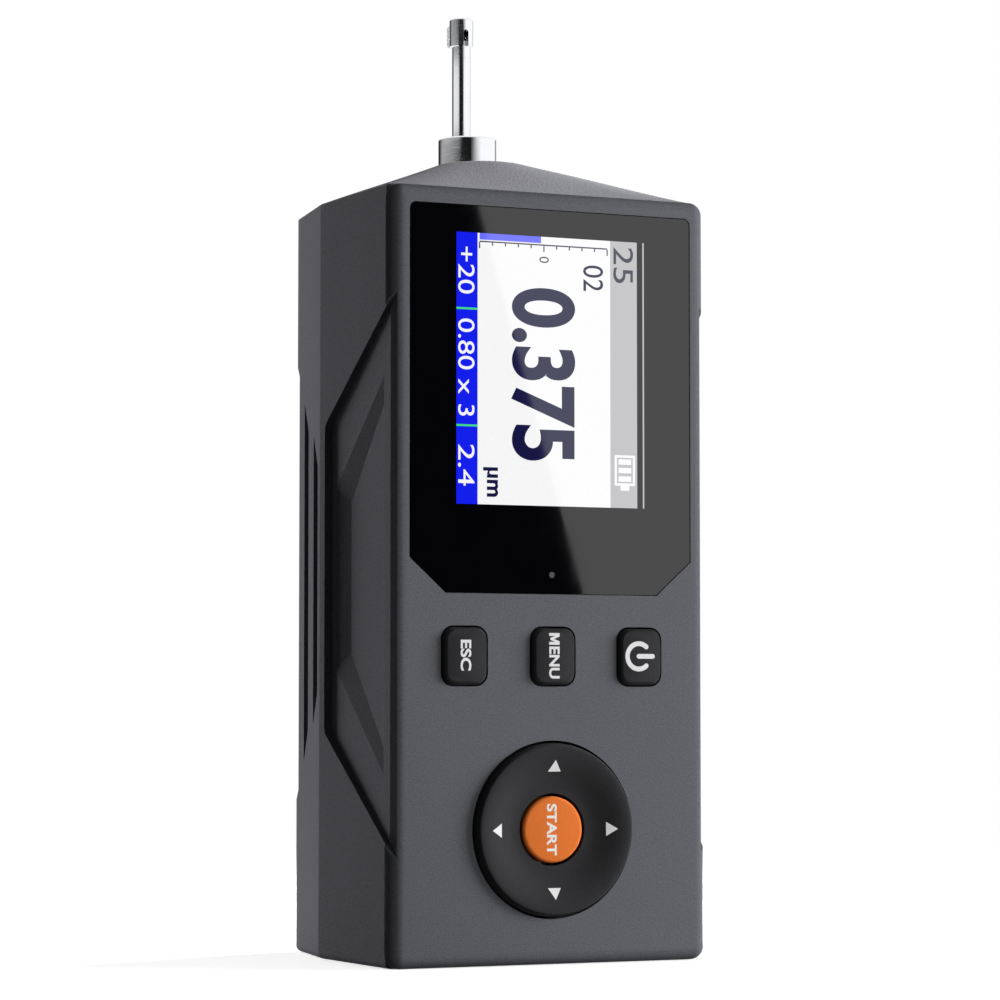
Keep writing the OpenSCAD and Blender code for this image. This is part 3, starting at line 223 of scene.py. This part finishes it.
label_ink = moulded("label_ink", tone(168, 168, 168), 0.6, 0.05, 0.1, 0.001, mottle=0.03)
start_ink = moulded("start_ink", tone(176, 174, 172), 0.6, 0.05, 0.1, 0.001, mottle=0.03)
# The print glows a little: painted light that keeps it bright where it lies in shade.
for ink in (label_ink, start_ink):
    ink_shader = ink.node_tree.nodes["Principled BSDF"]
    ink_shader.inputs["Emission Color"].default_value = tone(240, 240, 240)
    ink_shader.inputs["Emission Strength"].default_value = PRINT_PAINTED_GLOW

# Metals: colour and roughness
chrome = turned("chrome", tone(242, 243, 246), 0.07, lines=0.1, height=0.00005)
steel = turned("steel", tone(205, 207, 210), 0.22)
can_steel = turned("can_steel", tone(176, 178, 182), 0.32, lines=0.2)
brass = turned("brass", tone(206, 172, 98), 0.26)
aluminium = turned("aluminium", tone(190, 192, 196), 0.34, along=(1.0, 1.0, 0.05))
copper = turned("copper", tone(196, 112, 72), 0.35, lines=0.14)
spring_metal = turned("spring_metal", tone(198, 196, 186), 0.2, along=(1.0, 0.05, 1.0))

# Lit colours of the display
screen_black = lit("screen_black", tone(10, 11, 16), 0.6)
screen_white = lit("screen_white", tone(247, 247, 248))
screen_grey = lit("screen_grey", tone(190, 190, 193))
screen_blue = lit("screen_blue", tone(18, 30, 236))
screen_bar = lit("screen_bar", tone(104, 108, 250))
screen_navy = lit("screen_navy", tone(20, 20, 66))
screen_dark = lit("screen_dark", tone(58, 60, 78))
screen_green = lit("screen_green", tone(70, 220, 120))

# The finish of every node
FINISHES = {
    cover_plastic: ("front_cover",),
    housing_plastic: ("rear_housing",),
    lens_gloss: ("display_lens",),
    pipe_plastic: ("light_pipe",),
    lcd_glass: ("lcd_module",),
    key_plastic: ("esc_key", "menu_key", "power_key"),
    ring_plastic: ("nav_ring",),
    start_plastic: ("start_button",),
    nylon: ("lcd_tray", "nav_gimbal", "nav_base"),
    silicone: ("keypad_mat",),
    spring_metal: ("dome_switches",),
    board_green: ("main_board",),
    chip_black: ("board_chips",),
    acetal: ("carriage", "pickup_socket", "pickup_plug"),
    battery_wrap: ("battery",),
    can_steel: ("usb_socket", "drive_motor", "case_screws"),
    steel: ("guide_rods", "motor_shaft", "lead_screw", "pickup_tube", "pivot_pin", "stylus_lever"),
    aluminium: ("drive_frame", "screw_coupling"),
    brass: ("gearhead", "screw_bush", "screw_nut"),
    copper: ("sensor_coils",),
    chrome: ("nose_collar", "nose_tube", "skid_head", "pickup_nose"),
    ceramic: ("skid",),
    tip_stone: ("stylus_tip",),
}


def maths(tree, operation, *values, kind="ShaderNodeMath"):
    """The output of a maths node that is fed with sockets or plain values."""
    node = tree.nodes.new(kind)
    node.operation = operation
    for socket, value in zip(node.inputs, values):
        if isinstance(value, bpy.types.NodeSocket):
            tree.links.new(value, socket)
        else:
            socket.default_value = value
    return next(socket for socket in node.outputs if socket.enabled)


def vector_maths(tree, operation, *values):
    """The output of a vector maths node that is fed with sockets or plain values."""
    return maths(tree, operation, *values, kind="ShaderNodeVectorMath")


def crisp_limit(group):
    """The angle above which an edge stays sharp: smaller inside the crisp box."""
    place = group.nodes.new("GeometryNodeInputPosition").outputs["Position"]
    place = vector_maths(group, "SUBTRACT", place, Vector(CRISP_MIDDLE) * MM)
    place = vector_maths(group, "ABSOLUTE", place)
    place = vector_maths(group, "DIVIDE", place, Vector(CRISP_HALF) * MM)
    split = group.nodes.new("ShaderNodeSeparateXYZ")
    group.links.new(place, split.inputs["Vector"])
    far = maths(group, "MAXIMUM", split.outputs["X"], split.outputs["Y"])
    far = maths(group, "MAXIMUM", far, split.outputs["Z"])
    outside = maths(group, "GREATER_THAN", far, 1.0)
    span = math.radians(SMOOTH_ANGLE - CRISP_ANGLE)
    return maths(group, "MULTIPLY_ADD", outside, span, math.radians(CRISP_ANGLE))


def smoothing_group(name, crisp):
    """Geometry nodes that weld the facets of a solid and shade its flat edges smooth."""
    group = bpy.data.node_groups.new(name, "GeometryNodeTree")
    for side in ("INPUT", "OUTPUT"):
        group.interface.new_socket("Geometry", in_out=side, socket_type="NodeSocketGeometry")
    add, link = group.nodes.new, group.links.new
    start, end = add("NodeGroupInput"), add("NodeGroupOutput")
    weld = add("GeometryNodeMergeByDistance")
    weld.inputs["Distance"].default_value = WELD * MM
    faces = add("GeometryNodeSetShadeSmooth")
    edges = add("GeometryNodeSetShadeSmooth")
    edges.domain = "EDGE"
    edges.inputs["Shade Smooth"].default_value = False
    angle = add("GeometryNodeInputMeshEdgeAngle")
    limit = crisp_limit(group) if crisp else math.radians(SMOOTH_ANGLE)
    sharp = maths(group, "GREATER_THAN", angle.outputs["Unsigned Angle"], limit)
    link(start.outputs["Geometry"], weld.inputs["Geometry"])
    link(weld.outputs["Geometry"], faces.inputs["Geometry"])
    link(faces.outputs["Geometry"], edges.inputs["Geometry"])
    link(sharp, edges.inputs["Selection"])
    link(edges.outputs["Geometry"], end.inputs["Geometry"])
    return group


smooth_sides = smoothing_group("smooth_sides", crisp=False)
crisp_sides = smoothing_group("crisp_sides", crisp=True)
for finish, names in FINISHES.items():
    for name in names:
        solid = nodes[name]
        solid.data.materials.clear()
        solid.data.materials.append(finish)
        group = crisp_sides if name == "rear_housing" else smooth_sides
        solid.modifiers.new(group.name, "NODES").node_group = group


# Print and display pieces


def surface_of(name):
    """The front surface of a solid, for finding where print lies on it."""
    mesh = nodes[name].data
    return BVHTree.FromPolygons([v.co for v in mesh.vertices], [p.vertices for p in mesh.polygons])


surfaces = {
    name: surface_of(name)
    for name in ("display_lens", "esc_key", "menu_key", "power_key", "nav_ring", "start_button")
}


def front_of(name, x, z):
    """How far back the front surface of a solid lies at a place on it, in mm."""
    hit = surfaces[name].ray_cast(Vector((x, RAY_START, z)) * MM, Vector((0, 1, 0)))[0]
    if hit is None:
        raise ValueError(f"no surface of {name} at {x:.2f}, {z:.2f}")
    return hit.y / MM


def add_print(name, on, points, faces, material, layer=0):
    """A thin printed or lit film on the front surface of a solid, from (x, z) points in mm."""
    lift = INK_LIFT + layer * LAYER_LIFT
    mesh = bpy.data.meshes.new(name)
    mesh.from_pydata([Vector((x, front_of(on, x, z) - lift, z)) * MM for x, z in points], [], faces)
    mesh.materials.append(material)
    piece = bpy.data.objects.new(name, mesh)
    scene.collection.objects.link(piece)
    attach(piece, nodes[on]["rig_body"])
    return piece


def spot(name, aside=0.0, up=0.0):
    """A place on the front, as x and z in mm, measured from the middle of a solid."""
    low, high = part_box(name)
    middle = (low + high) / 2 / MM
    return middle.x + aside, middle.z + up


def placed(box, place):
    """The left, low, right and high edges of a box, in mm, moved to a place on the front."""
    left, low, right, high = box
    x, z = place
    return left + x, low + z, right + x, high + z


def lettering(name, on, words, box, material, layer=0, weight=0.0):
    """Words that read down the face with their tops to the right, fitted into a box in mm."""
    curve = bpy.data.curves.new(name, "FONT")
    curve.body = words
    curve.offset = weight
    writer = bpy.data.objects.new(name + "_writer", curve)
    scene.collection.objects.link(writer)
    drawn = writer.evaluated_get(bpy.context.evaluated_depsgraph_get())
    flat = bpy.data.meshes.new_from_object(drawn)
    bpy.data.objects.remove(writer)
    along = [v.co.x for v in flat.vertices]
    across = [v.co.y for v in flat.vertices]
    left, low, right, high = box
    stretch_along = (high - low) / (max(along) - min(along))
    stretch_across = (right - left) / (max(across) - min(across))
    points = [
        (left + (y - min(across)) * stretch_across, high - (x - min(along)) * stretch_along)
        for x, y in zip(along, across)
    ]
    faces = [tuple(p.vertices) for p in flat.polygons]
    bpy.data.meshes.remove(flat)
    return add_print(name, on, points, faces, material, layer)


def arc(centre, radius, start, end, steps):
    """Points along an arc between two angles, in degrees from +X towards +Z."""
    turns = [math.radians(start + (end - start) * step / steps) for step in range(steps + 1)]
    return [(centre[0] + radius * math.cos(turn), centre[1] + radius * math.sin(turn)) for turn in turns]


def triangle(centre, turn, length, width, rows):
    """Points and faces of a triangle that points along an angle, cut into rows so that it can bend."""
    forward = Vector((math.cos(math.radians(turn)), math.sin(math.radians(turn))))
    aside = Vector((-forward.y, forward.x))
    points, faces = [], []
    for row in range(rows + 1):
        share = row / rows
        middle = Vector(centre) + forward * length * (share - 0.5)
        half = aside * width * (1 - share) / 2
        points += [tuple(middle - half), tuple(middle), tuple(middle + half)]
    for row in range(rows):
        base = 3 * row
        faces += [
            (base, base + 1, base + 4, base + 3),
            (base + 1, base + 2, base + 5, base + 4),
        ]
    return points, faces


def merged(parts):
    """One list of points and one of faces from several."""
    points, faces = [], []
    for part_points, part_faces in parts:
        first = len(points)
        points += part_points
        faces += [tuple(first + corner for corner in face) for face in part_faces]
    return points, faces


# Labels on the keys and the button, in mm from the middle of each. The first letter of MENU is drawn wide,
# from MENU_HALF to FIRST_END above the middle, and the others start at REST_START.
LABEL_UP = 0.1
ESC_ASIDE, MENU_ASIDE, POWER_ASIDE = -0.2, -0.2, -0.55
LETTER_H = 1.85
LABEL_WEIGHT = 0.03
ESC_HALF = 2.43
MENU_HALF = 3.62
FIRST_END = 1.74
REST_START = 1.46
START_BOX = (-1.12, -4.07, 0.64, 4.1)
# A bold M: shares of its width along the line and of its height above the foot
WIDE_LETTER = (
    (0, 0), (0, 1), (0.3, 1), (0.5, 0.46), (0.7, 1), (1, 1), (1, 0),
    (0.75, 0), (0.75, 0.58), (0.59, 0.12), (0.41, 0.12), (0.25, 0.58), (0.25, 0),
)

esc_at = spot("esc_key", ESC_ASIDE, LABEL_UP)
esc_box = placed((-LETTER_H / 2, -ESC_HALF, LETTER_H / 2, ESC_HALF), esc_at)
menu_at = spot("menu_key", MENU_ASIDE, LABEL_UP)
menu_box = placed((-LETTER_H / 2, -MENU_HALF, LETTER_H / 2, REST_START), menu_at)
wide_letter = [
    (menu_at[0] + LETTER_H * (up - 0.5), menu_at[1] + MENU_HALF - (MENU_HALF - FIRST_END) * along)
    for along, up in WIDE_LETTER
]
start_box = placed(START_BOX, spot("start_button"))
lettering("esc_label", "esc_key", "ESC", esc_box, label_ink, weight=LABEL_WEIGHT)
add_print("menu_label_first", "menu_key", wide_letter, [range(len(wide_letter))], label_ink)
lettering("menu_label", "menu_key", "ENU", menu_box, label_ink, weight=LABEL_WEIGHT)
lettering("start_label", "start_button", "START", start_box, start_ink, weight=LABEL_WEIGHT)

# Power symbol on its key, with round ends
POWER_R = 2.43
POWER_STROKE = 0.78
POWER_GAP = 48.0
POWER_BAR = 2.5
POWER_STEPS = 40
CAP_STEPS = 8

power_at = spot("power_key", POWER_ASIDE, LABEL_UP)
power_end = spot("power_key", POWER_ASIDE + POWER_BAR, LABEL_UP)
power_middle = POWER_R - POWER_STROKE / 2
power_outer = arc(power_at, POWER_R, POWER_GAP, 360 - POWER_GAP, POWER_STEPS)
power_inner = arc(power_at, POWER_R - POWER_STROKE, 360 - POWER_GAP, POWER_GAP, POWER_STEPS)
first_end, last_end = (
    arc(power_at, power_middle, turn, turn, 1)[0] for turn in (POWER_GAP, 360 - POWER_GAP)
)
last_cap = arc(last_end, POWER_STROKE / 2, -POWER_GAP, 180 - POWER_GAP, CAP_STEPS)[1:-1]
first_cap = arc(first_end, POWER_STROKE / 2, 180 + POWER_GAP, 360 + POWER_GAP, CAP_STEPS)[1:-1]
power_ring = power_outer + last_cap + power_inner + first_cap
power_bar = arc(power_at, POWER_STROKE / 2, 90, 270, CAP_STEPS)
power_bar += arc(power_end, POWER_STROKE / 2, -90, 90, CAP_STEPS)
power_parts = [(outline, [tuple(range(len(outline)))]) for outline in (power_ring, power_bar)]
add_print("power_symbol", "power_key", *merged(power_parts), label_ink)

# Arrows on the four-way ring
ARROW_R = 10.15
ARROW_LENGTH = 1.85
ARROW_WIDTH = 2.25
ARROW_ROWS = 6

ring_at = spot("nav_ring")
arrows = []
for turn in (0, 90, 180, 270):
    place = arc(ring_at, ARROW_R, turn, turn, 1)[0]
    arrows.append(triangle(place, turn, ARROW_LENGTH, ARROW_WIDTH, ARROW_ROWS))
add_print("ring_arrows", "nav_ring", *merged(arrows), label_ink)

# Display, laid on the lens over the lit area of its module, in mm from the middle of that area. The fields
# lie on a dark panel, and the signs on the fields.
FIELD_LAYER, SIGN_LAYER = 1, 2
LIT_RIM = 0.7
BAND_IN = -13.2
FIELD_OUT = 10.44
GREY_OUT = 15.3
RULE_LEFT, RULE_RIGHT = 16.32, 16.58
DIVIDER_HALF = 0.16
DIVIDERS = (9.44, -9.14)

screen_at = spot("lcd_module")
module_low, module_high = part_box("lcd_module")
module_half = (module_high - module_low) / 2 / MM
lit_side, lit_high = module_half.x - LIT_RIM, module_half.z - LIT_RIM
lit_low = -lit_high


def fields(name, boxes, material, layer=0):
    """Rectangular fields of one colour on the display, each a box in mm from its middle."""
    points, faces = [], []
    for box in boxes:
        left, low, right, high = placed(box, screen_at)
        first = len(points)
        points += [(left, low), (right, low), (right, high), (left, high)]
        faces.append(range(first, first + 4))
    return add_print(name, "display_lens", points, faces, material, layer)


fields("screen_panel", [(-lit_side, lit_low, lit_side, lit_high)], screen_black)
fields("screen_band", [(-lit_side, lit_low, BAND_IN, lit_high)], screen_blue, FIELD_LAYER)
fields("screen_field", [(BAND_IN, lit_low, FIELD_OUT, lit_high)], screen_white, FIELD_LAYER)
fields("screen_side", [(FIELD_OUT, lit_low, GREY_OUT, lit_high)], screen_grey, FIELD_LAYER)
fields("screen_rule", [(RULE_LEFT, lit_low, RULE_RIGHT, lit_high)], screen_grey, FIELD_LAYER)
dividers = [(-lit_side, z - DIVIDER_HALF, BAND_IN, z + DIVIDER_HALF) for z in DIVIDERS]
fields("screen_dividers", dividers, screen_green, SIGN_LAYER)

# Scale along the upper edge of the display, with a gauge above it
SCALE_LEFT, SCALE_RIGHT = -12.86, 9.9
SCALE_Z = 20.15
SCALE_LINE = 0.22
SCALE_STEPS = 10
TICK_SHORT, TICK_LONG = 0.5, 1.0
GAUGE_LOW = 20.55
GAUGE_END = -1.98

fields("screen_gauge", [(SCALE_LEFT, GAUGE_LOW, GAUGE_END, lit_high)], screen_bar, SIGN_LAYER)
ticks = [(SCALE_LEFT, SCALE_Z, SCALE_RIGHT, SCALE_Z + SCALE_LINE)]
for step in range(SCALE_STEPS + 1):
    x = SCALE_LEFT + (SCALE_RIGHT - SCALE_LEFT) * step / SCALE_STEPS
    drop = TICK_LONG if step % (SCALE_STEPS // 2) == 0 else TICK_SHORT
    ticks.append((x - SCALE_LINE / 2, SCALE_Z - drop, x + SCALE_LINE / 2, SCALE_Z))
fields("screen_scale", ticks, screen_dark, SIGN_LAYER)

# Words on the display: piece, words, box in mm, colour and weight
SCREEN_WORDS = (
    ("screen_value", "0.375", (-7.32, -14.42, 4.1, 13.33), screen_navy, 0.03),
    ("screen_index", "02", (5.55, 13.26, 9.16, 17.45), screen_navy, 0.0),
    ("screen_unit", "µm", (-12.24, -20.38, -9.6, -15.68), screen_navy, 0.03),
    ("screen_zero", "0", (-2.3, 17.4, -0.6, 18.4), screen_dark, 0.0),
    ("screen_side_number", "25", (11.0, 14.84, 14.62, 20.67), screen_dark, 0.0),
    ("screen_range", "+20", (-16.6, 11.79, -13.75, 19.27), screen_white, 0.0),
    ("screen_length", "0.80 x 3", (-16.6, -7.63, -13.75, 7.81), screen_white, 0.0),
    ("screen_count", "2.4", (-16.6, -18.73, -13.75, -12.18), screen_white, 0.0),
)
for name, words, box, colour, weight in SCREEN_WORDS:
    lettering(name, "display_lens", words, placed(box, screen_at), colour, SIGN_LAYER, weight)

# Charge symbol: an outline with a tip below and bars inside
CELL_BOX = (11.2, -18.0, 14.9, -13.07)
CELL_LINE = 0.4
CELL_TIP = 0.8
CELL_BARS = 3
CELL_INSET = 0.7
CELL_GAP = 0.25

left, low, right, high = CELL_BOX
middle = (left + right) / 2
charge = [
    (left, low, right, low + CELL_LINE),
    (left, high - CELL_LINE, right, high),
    (left, low, left + CELL_LINE, high),
    (right - CELL_LINE, low, right, high),
    (middle - CELL_TIP, low - CELL_TIP, middle + CELL_TIP, low),
]
bar_pitch = (high - low - 2 * CELL_LINE) / CELL_BARS
for bar in range(CELL_BARS):
    base = low + CELL_LINE + bar_pitch * bar
    top = base + bar_pitch - CELL_GAP
    charge.append((left + CELL_INSET, base + CELL_GAP, right - CELL_INSET, top))
fields("screen_charge", charge, screen_white, SIGN_LAYER)


# Stage, lights and camera


def stage_piece(name, mesh):
    """A piece of the studio made of a mesh."""
    piece = bpy.data.objects.new(name, mesh)
    scene.collection.objects.link(piece)
    return piece


def stage_plane(name, corners, material):
    """A flat piece of the studio through four corners in mm."""
    mesh = bpy.data.meshes.new(name)
    mesh.from_pydata([Vector(corner) * MM for corner in corners], [], [(0, 1, 2, 3)])
    mesh.materials.append(material)
    return stage_piece(name, mesh)


def show_only(card, shown):
    """Lets one kind of ray meet a card of the studio, and all others pass."""
    for kind in ("camera", "diffuse", "glossy", "transmission", "shadow"):
        setattr(card, "visible_" + kind, kind == shown)


def background_rays(tree):
    """A socket that is 1 for rays from the camera, gloss and glass, which see the background."""
    paths = tree.nodes.new("ShaderNodeLightPath").outputs
    seen = maths(tree, "MAXIMUM", paths["Is Camera Ray"], paths["Is Glossy Ray"])
    return maths(tree, "MAXIMUM", seen, paths["Is Transmission Ray"])


# Floor, in mm, which keeps the shadow near the tester and fades to white between two distances, in m
FLOOR_HALF = 6000.0
FLOOR_Z = -0.05
FLOOR_FADE_IN, FLOOR_FADE_OUT = 0.1, 0.45
FLOOR_GLOW = 0.55

floor_material, floor_tree, floor_shader = new_material(
    "floor_white", {"Base Color": tone(236, 236, 236), "Roughness": 0.9, "Specular IOR Level": 0.0}
)
floor_link = floor_tree.links.new
floor_seen = background_rays(floor_tree)
floor_place = floor_tree.nodes.new("ShaderNodeTexCoord")
floor_fade = floor_tree.nodes.new("ShaderNodeMapRange")
floor_fade.interpolation_type = "SMOOTHSTEP"
floor_fade.inputs["From Min"].default_value = FLOOR_FADE_IN
floor_fade.inputs["From Max"].default_value = FLOOR_FADE_OUT
floor_link(vector_maths(floor_tree, "LENGTH", floor_place.outputs["Object"]), floor_fade.inputs["Value"])
floor_shader.inputs["Emission Color"].default_value = (1, 1, 1, 1)
floor_link(maths(floor_tree, "MULTIPLY", floor_seen, FLOOR_GLOW), floor_shader.inputs["Emission Strength"])
floor_white = floor_tree.nodes.new("ShaderNodeEmission")
floor_mix = floor_tree.nodes.new("ShaderNodeMixShader")
floor_out = floor_tree.nodes["Material Output"]
floor_link(maths(floor_tree, "MULTIPLY", floor_fade.outputs["Result"], floor_seen), floor_mix.inputs["Fac"])
floor_link(floor_shader.outputs["BSDF"], floor_mix.inputs[1])
floor_link(floor_white.outputs["Emission"], floor_mix.inputs[2])
floor_link(floor_mix.outputs["Shader"], floor_out.inputs["Surface"])
floor = stage_plane(
    "floor",
    [
        (-FLOOR_HALF, -FLOOR_HALF, FLOOR_Z),
        (FLOOR_HALF, -FLOOR_HALF, FLOOR_Z),
        (FLOOR_HALF, FLOOR_HALF, FLOOR_Z),
        (-FLOOR_HALF, FLOOR_HALF, FLOOR_Z),
    ],
    floor_material,
)
floor.visible_diffuse = False

# Dark card in front, in mm, whose slanting right edge the lens mirrors
CARD_Y = -400
CARD_LEFT = -900
CARD_LOW, CARD_HIGH = -60, 185
CARD_RIGHT_LOW, CARD_RIGHT_HIGH = 235, 161

flag_black, _, _ = new_material("flag_black", {"Base Color": tone(0, 0, 0), "Specular IOR Level": 0.0})
lens_flag = stage_plane(
    "lens_flag",
    [
        (CARD_LEFT, CARD_Y, CARD_LOW),
        (CARD_RIGHT_LOW, CARD_Y, CARD_LOW),
        (CARD_RIGHT_HIGH, CARD_Y, CARD_HIGH),
        (CARD_LEFT, CARD_Y, CARD_HIGH),
    ],
    flag_black,
)
show_only(lens_flag, "glossy")

# Bands around an axis near the bright metal, at x and y in mm. Each has its low and high edge in mm, then
# turns in degrees from the camera's side, positive to its right, with their levels of light.
METAL_AT = (0.0, 9.0)
BAND_R = 450.0
BAND_STEP = 3.0
METAL_BANDS = {
    "collar_card": (185, 210, (
        (-180, 0.03), (-142, 0.03), (-120, 0.4), (-60, 0.24), (-24, 0.01), (12, 0.01), (54, 1.1),
        (132, 1.1), (138, 0.3), (150, 0.3), (156, 1.1), (180, 1.1),
    )),
    "rod_card": (210, 232.5, (
        (-180, 0.03), (-124, 0.05), (-106, 0.95), (-36, 0.9), (-20, 0.01), (22, 0.01), (36, 1.1),
        (142, 1.1), (152, 0.35), (180, 0.35),
    )),
    "head_card": (232.5, 265, (
        (-180, 0.05), (-132, 0.06), (-110, 0.36), (-54, 0.26), (-18, 0.02), (14, 0.02), (50, 1.1),
        (142, 1.1), (152, 0.35), (180, 0.35),
    )),
}
camera_turn = math.degrees(math.atan2(CAMERA_AT[1] - METAL_AT[1], CAMERA_AT[0] - METAL_AT[0]))


def on_band(turn, z):
    """The point of the metal's surroundings at a turn from the camera's side."""
    angle = math.radians(camera_turn + turn)
    return Vector((METAL_AT[0] + BAND_R * math.cos(angle), METAL_AT[1] + BAND_R * math.sin(angle), z)) * MM


def level_at(stops, turn):
    """The level of light at a turn, between the stops around it."""
    for (first, low), (last, high) in zip(stops, stops[1:]):
        if turn <= last:
            return low + (high - low) * (turn - first) / (last - first)
    return stops[-1][1]


card_glow, card_tree, card_shader = new_material(
    "metal_card", {"Base Color": tone(0, 0, 0), "Specular IOR Level": 0.0, "Emission Strength": 1.0}
)
card_level = card_tree.nodes.new("ShaderNodeVertexColor")
card_level.layer_name = "level"
card_tree.links.new(card_level.outputs["Color"], card_shader.inputs["Emission Color"])

for name, (low, high, stops) in METAL_BANDS.items():
    count = round((stops[-1][0] - stops[0][0]) / BAND_STEP)
    turns = [stops[0][0] + BAND_STEP * step for step in range(count + 1)]
    mesh = bpy.data.meshes.new(name)
    rim = [on_band(turn, z) for turn in turns for z in (low, high)]
    mesh.from_pydata(rim, [], [(2 * k, 2 * k + 2, 2 * k + 3, 2 * k + 1) for k in range(count)])
    levels = mesh.color_attributes.new("level", "FLOAT_COLOR", "POINT")
    for corner, point in enumerate(levels.data):
        point.color = (*[level_at(stops, turns[corner // 2])] * 3, 1.0)
    mesh.materials.append(card_glow)
    show_only(stage_piece(name, mesh), "glossy")

# White for the camera, gloss and glass, and a faint fill for the rest
WORLD_FILL = 0.05
world = bpy.data.worlds.new("studio")
scene.world = world
world.use_nodes = True
world_tree = world.node_tree
background = world_tree.nodes["Background"]
background.inputs["Color"].default_value = (1, 1, 1, 1)
strength = world_tree.nodes.new("ShaderNodeMapRange")
strength.inputs["To Min"].default_value = WORLD_FILL
world_tree.links.new(background_rays(world_tree), strength.inputs["Value"])
world_tree.links.new(strength.outputs["Result"], background.inputs["Strength"])

# Soft boxes: name, place and target in mm, width and height in mm, power in watts
LIGHTS = (
    ("key", (540, -285, 150), (0, -20, 75), (340, 340), 7.2),
    ("front", (165, -600, 110), (0, -20, 75), (240, 240), 1.3),
    ("rim", (500, 40, 390), (0, 0, 130), (300, 300), 20.5),
    ("rear_left", (-215, 606, 90), (-20, 10, 80), (300, 420), 10.4),
)
for name, place, target, (width, height), power in LIGHTS:
    lamp = bpy.data.lights.new(name, "AREA")
    lamp.shape = "RECTANGLE"
    lamp.size = width * MM
    lamp.size_y = height * MM
    lamp.energy = power
    holder = bpy.data.objects.new(name, lamp)
    holder.location = Vector(place) * MM
    aim = (Vector(target) - Vector(place)).normalized()
    holder.rotation_euler = aim.to_track_quat("-Z", "Y").to_euler()
    holder.visible_glossy = False
    scene.collection.objects.link(holder)

# A card beside the tester, in mm, keeps the rim light off its right side
FLAG_X = 45
FLAG_FRONT, FLAG_BACK = -32, 27
FLAG_LOW, FLAG_HIGH = -5, 134
rim_flag = stage_plane(
    "rim_flag",
    [
        (FLAG_X, FLAG_FRONT, FLAG_LOW),
        (FLAG_X, FLAG_BACK, FLAG_LOW),
        (FLAG_X, FLAG_BACK, FLAG_HIGH),
        (FLAG_X, FLAG_FRONT, FLAG_HIGH),
    ],
    flag_black,
)
show_only(rim_flag, "shadow")


def left_out(name, *pieces):
    """A light linking collection that leaves out some pieces."""
    collection = bpy.data.collections.new(name)
    for piece in pieces:
        collection.objects.link(piece)
    for member in collection.collection_objects:
        member.light_linking.link_state = "EXCLUDE"
    return collection


# The lights from behind spare the cover, the front one spares the housing and the ring, whose dish the key
# models alone, and the key passes the card
cover_left_out = left_out("cover_left_out", nodes["front_cover"])
for name in ("rim", "rear_left"):
    bpy.data.objects[name].light_linking.receiver_collection = cover_left_out
front_left_out = left_out("front_left_out", nodes["rear_housing"], nodes["nav_ring"])
bpy.data.objects["front"].light_linking.receiver_collection = front_left_out
bpy.data.objects["key"].light_linking.blocker_collection = left_out("flag_left_out", rim_flag)

camera = bpy.data.cameras.new("camera")
camera.lens = CAMERA_LENS
camera_holder = bpy.data.objects.new("camera", camera)
camera_holder.location = Vector(CAMERA_AT) * MM
camera_holder.rotation_euler = (
    math.radians(90 + CAMERA_PITCH),
    0,
    -math.radians(CAMERA_YAW),
)
scene.collection.objects.link(camera_holder)
scene.camera = camera_holder
scene.view_settings.view_transform = "Standard"
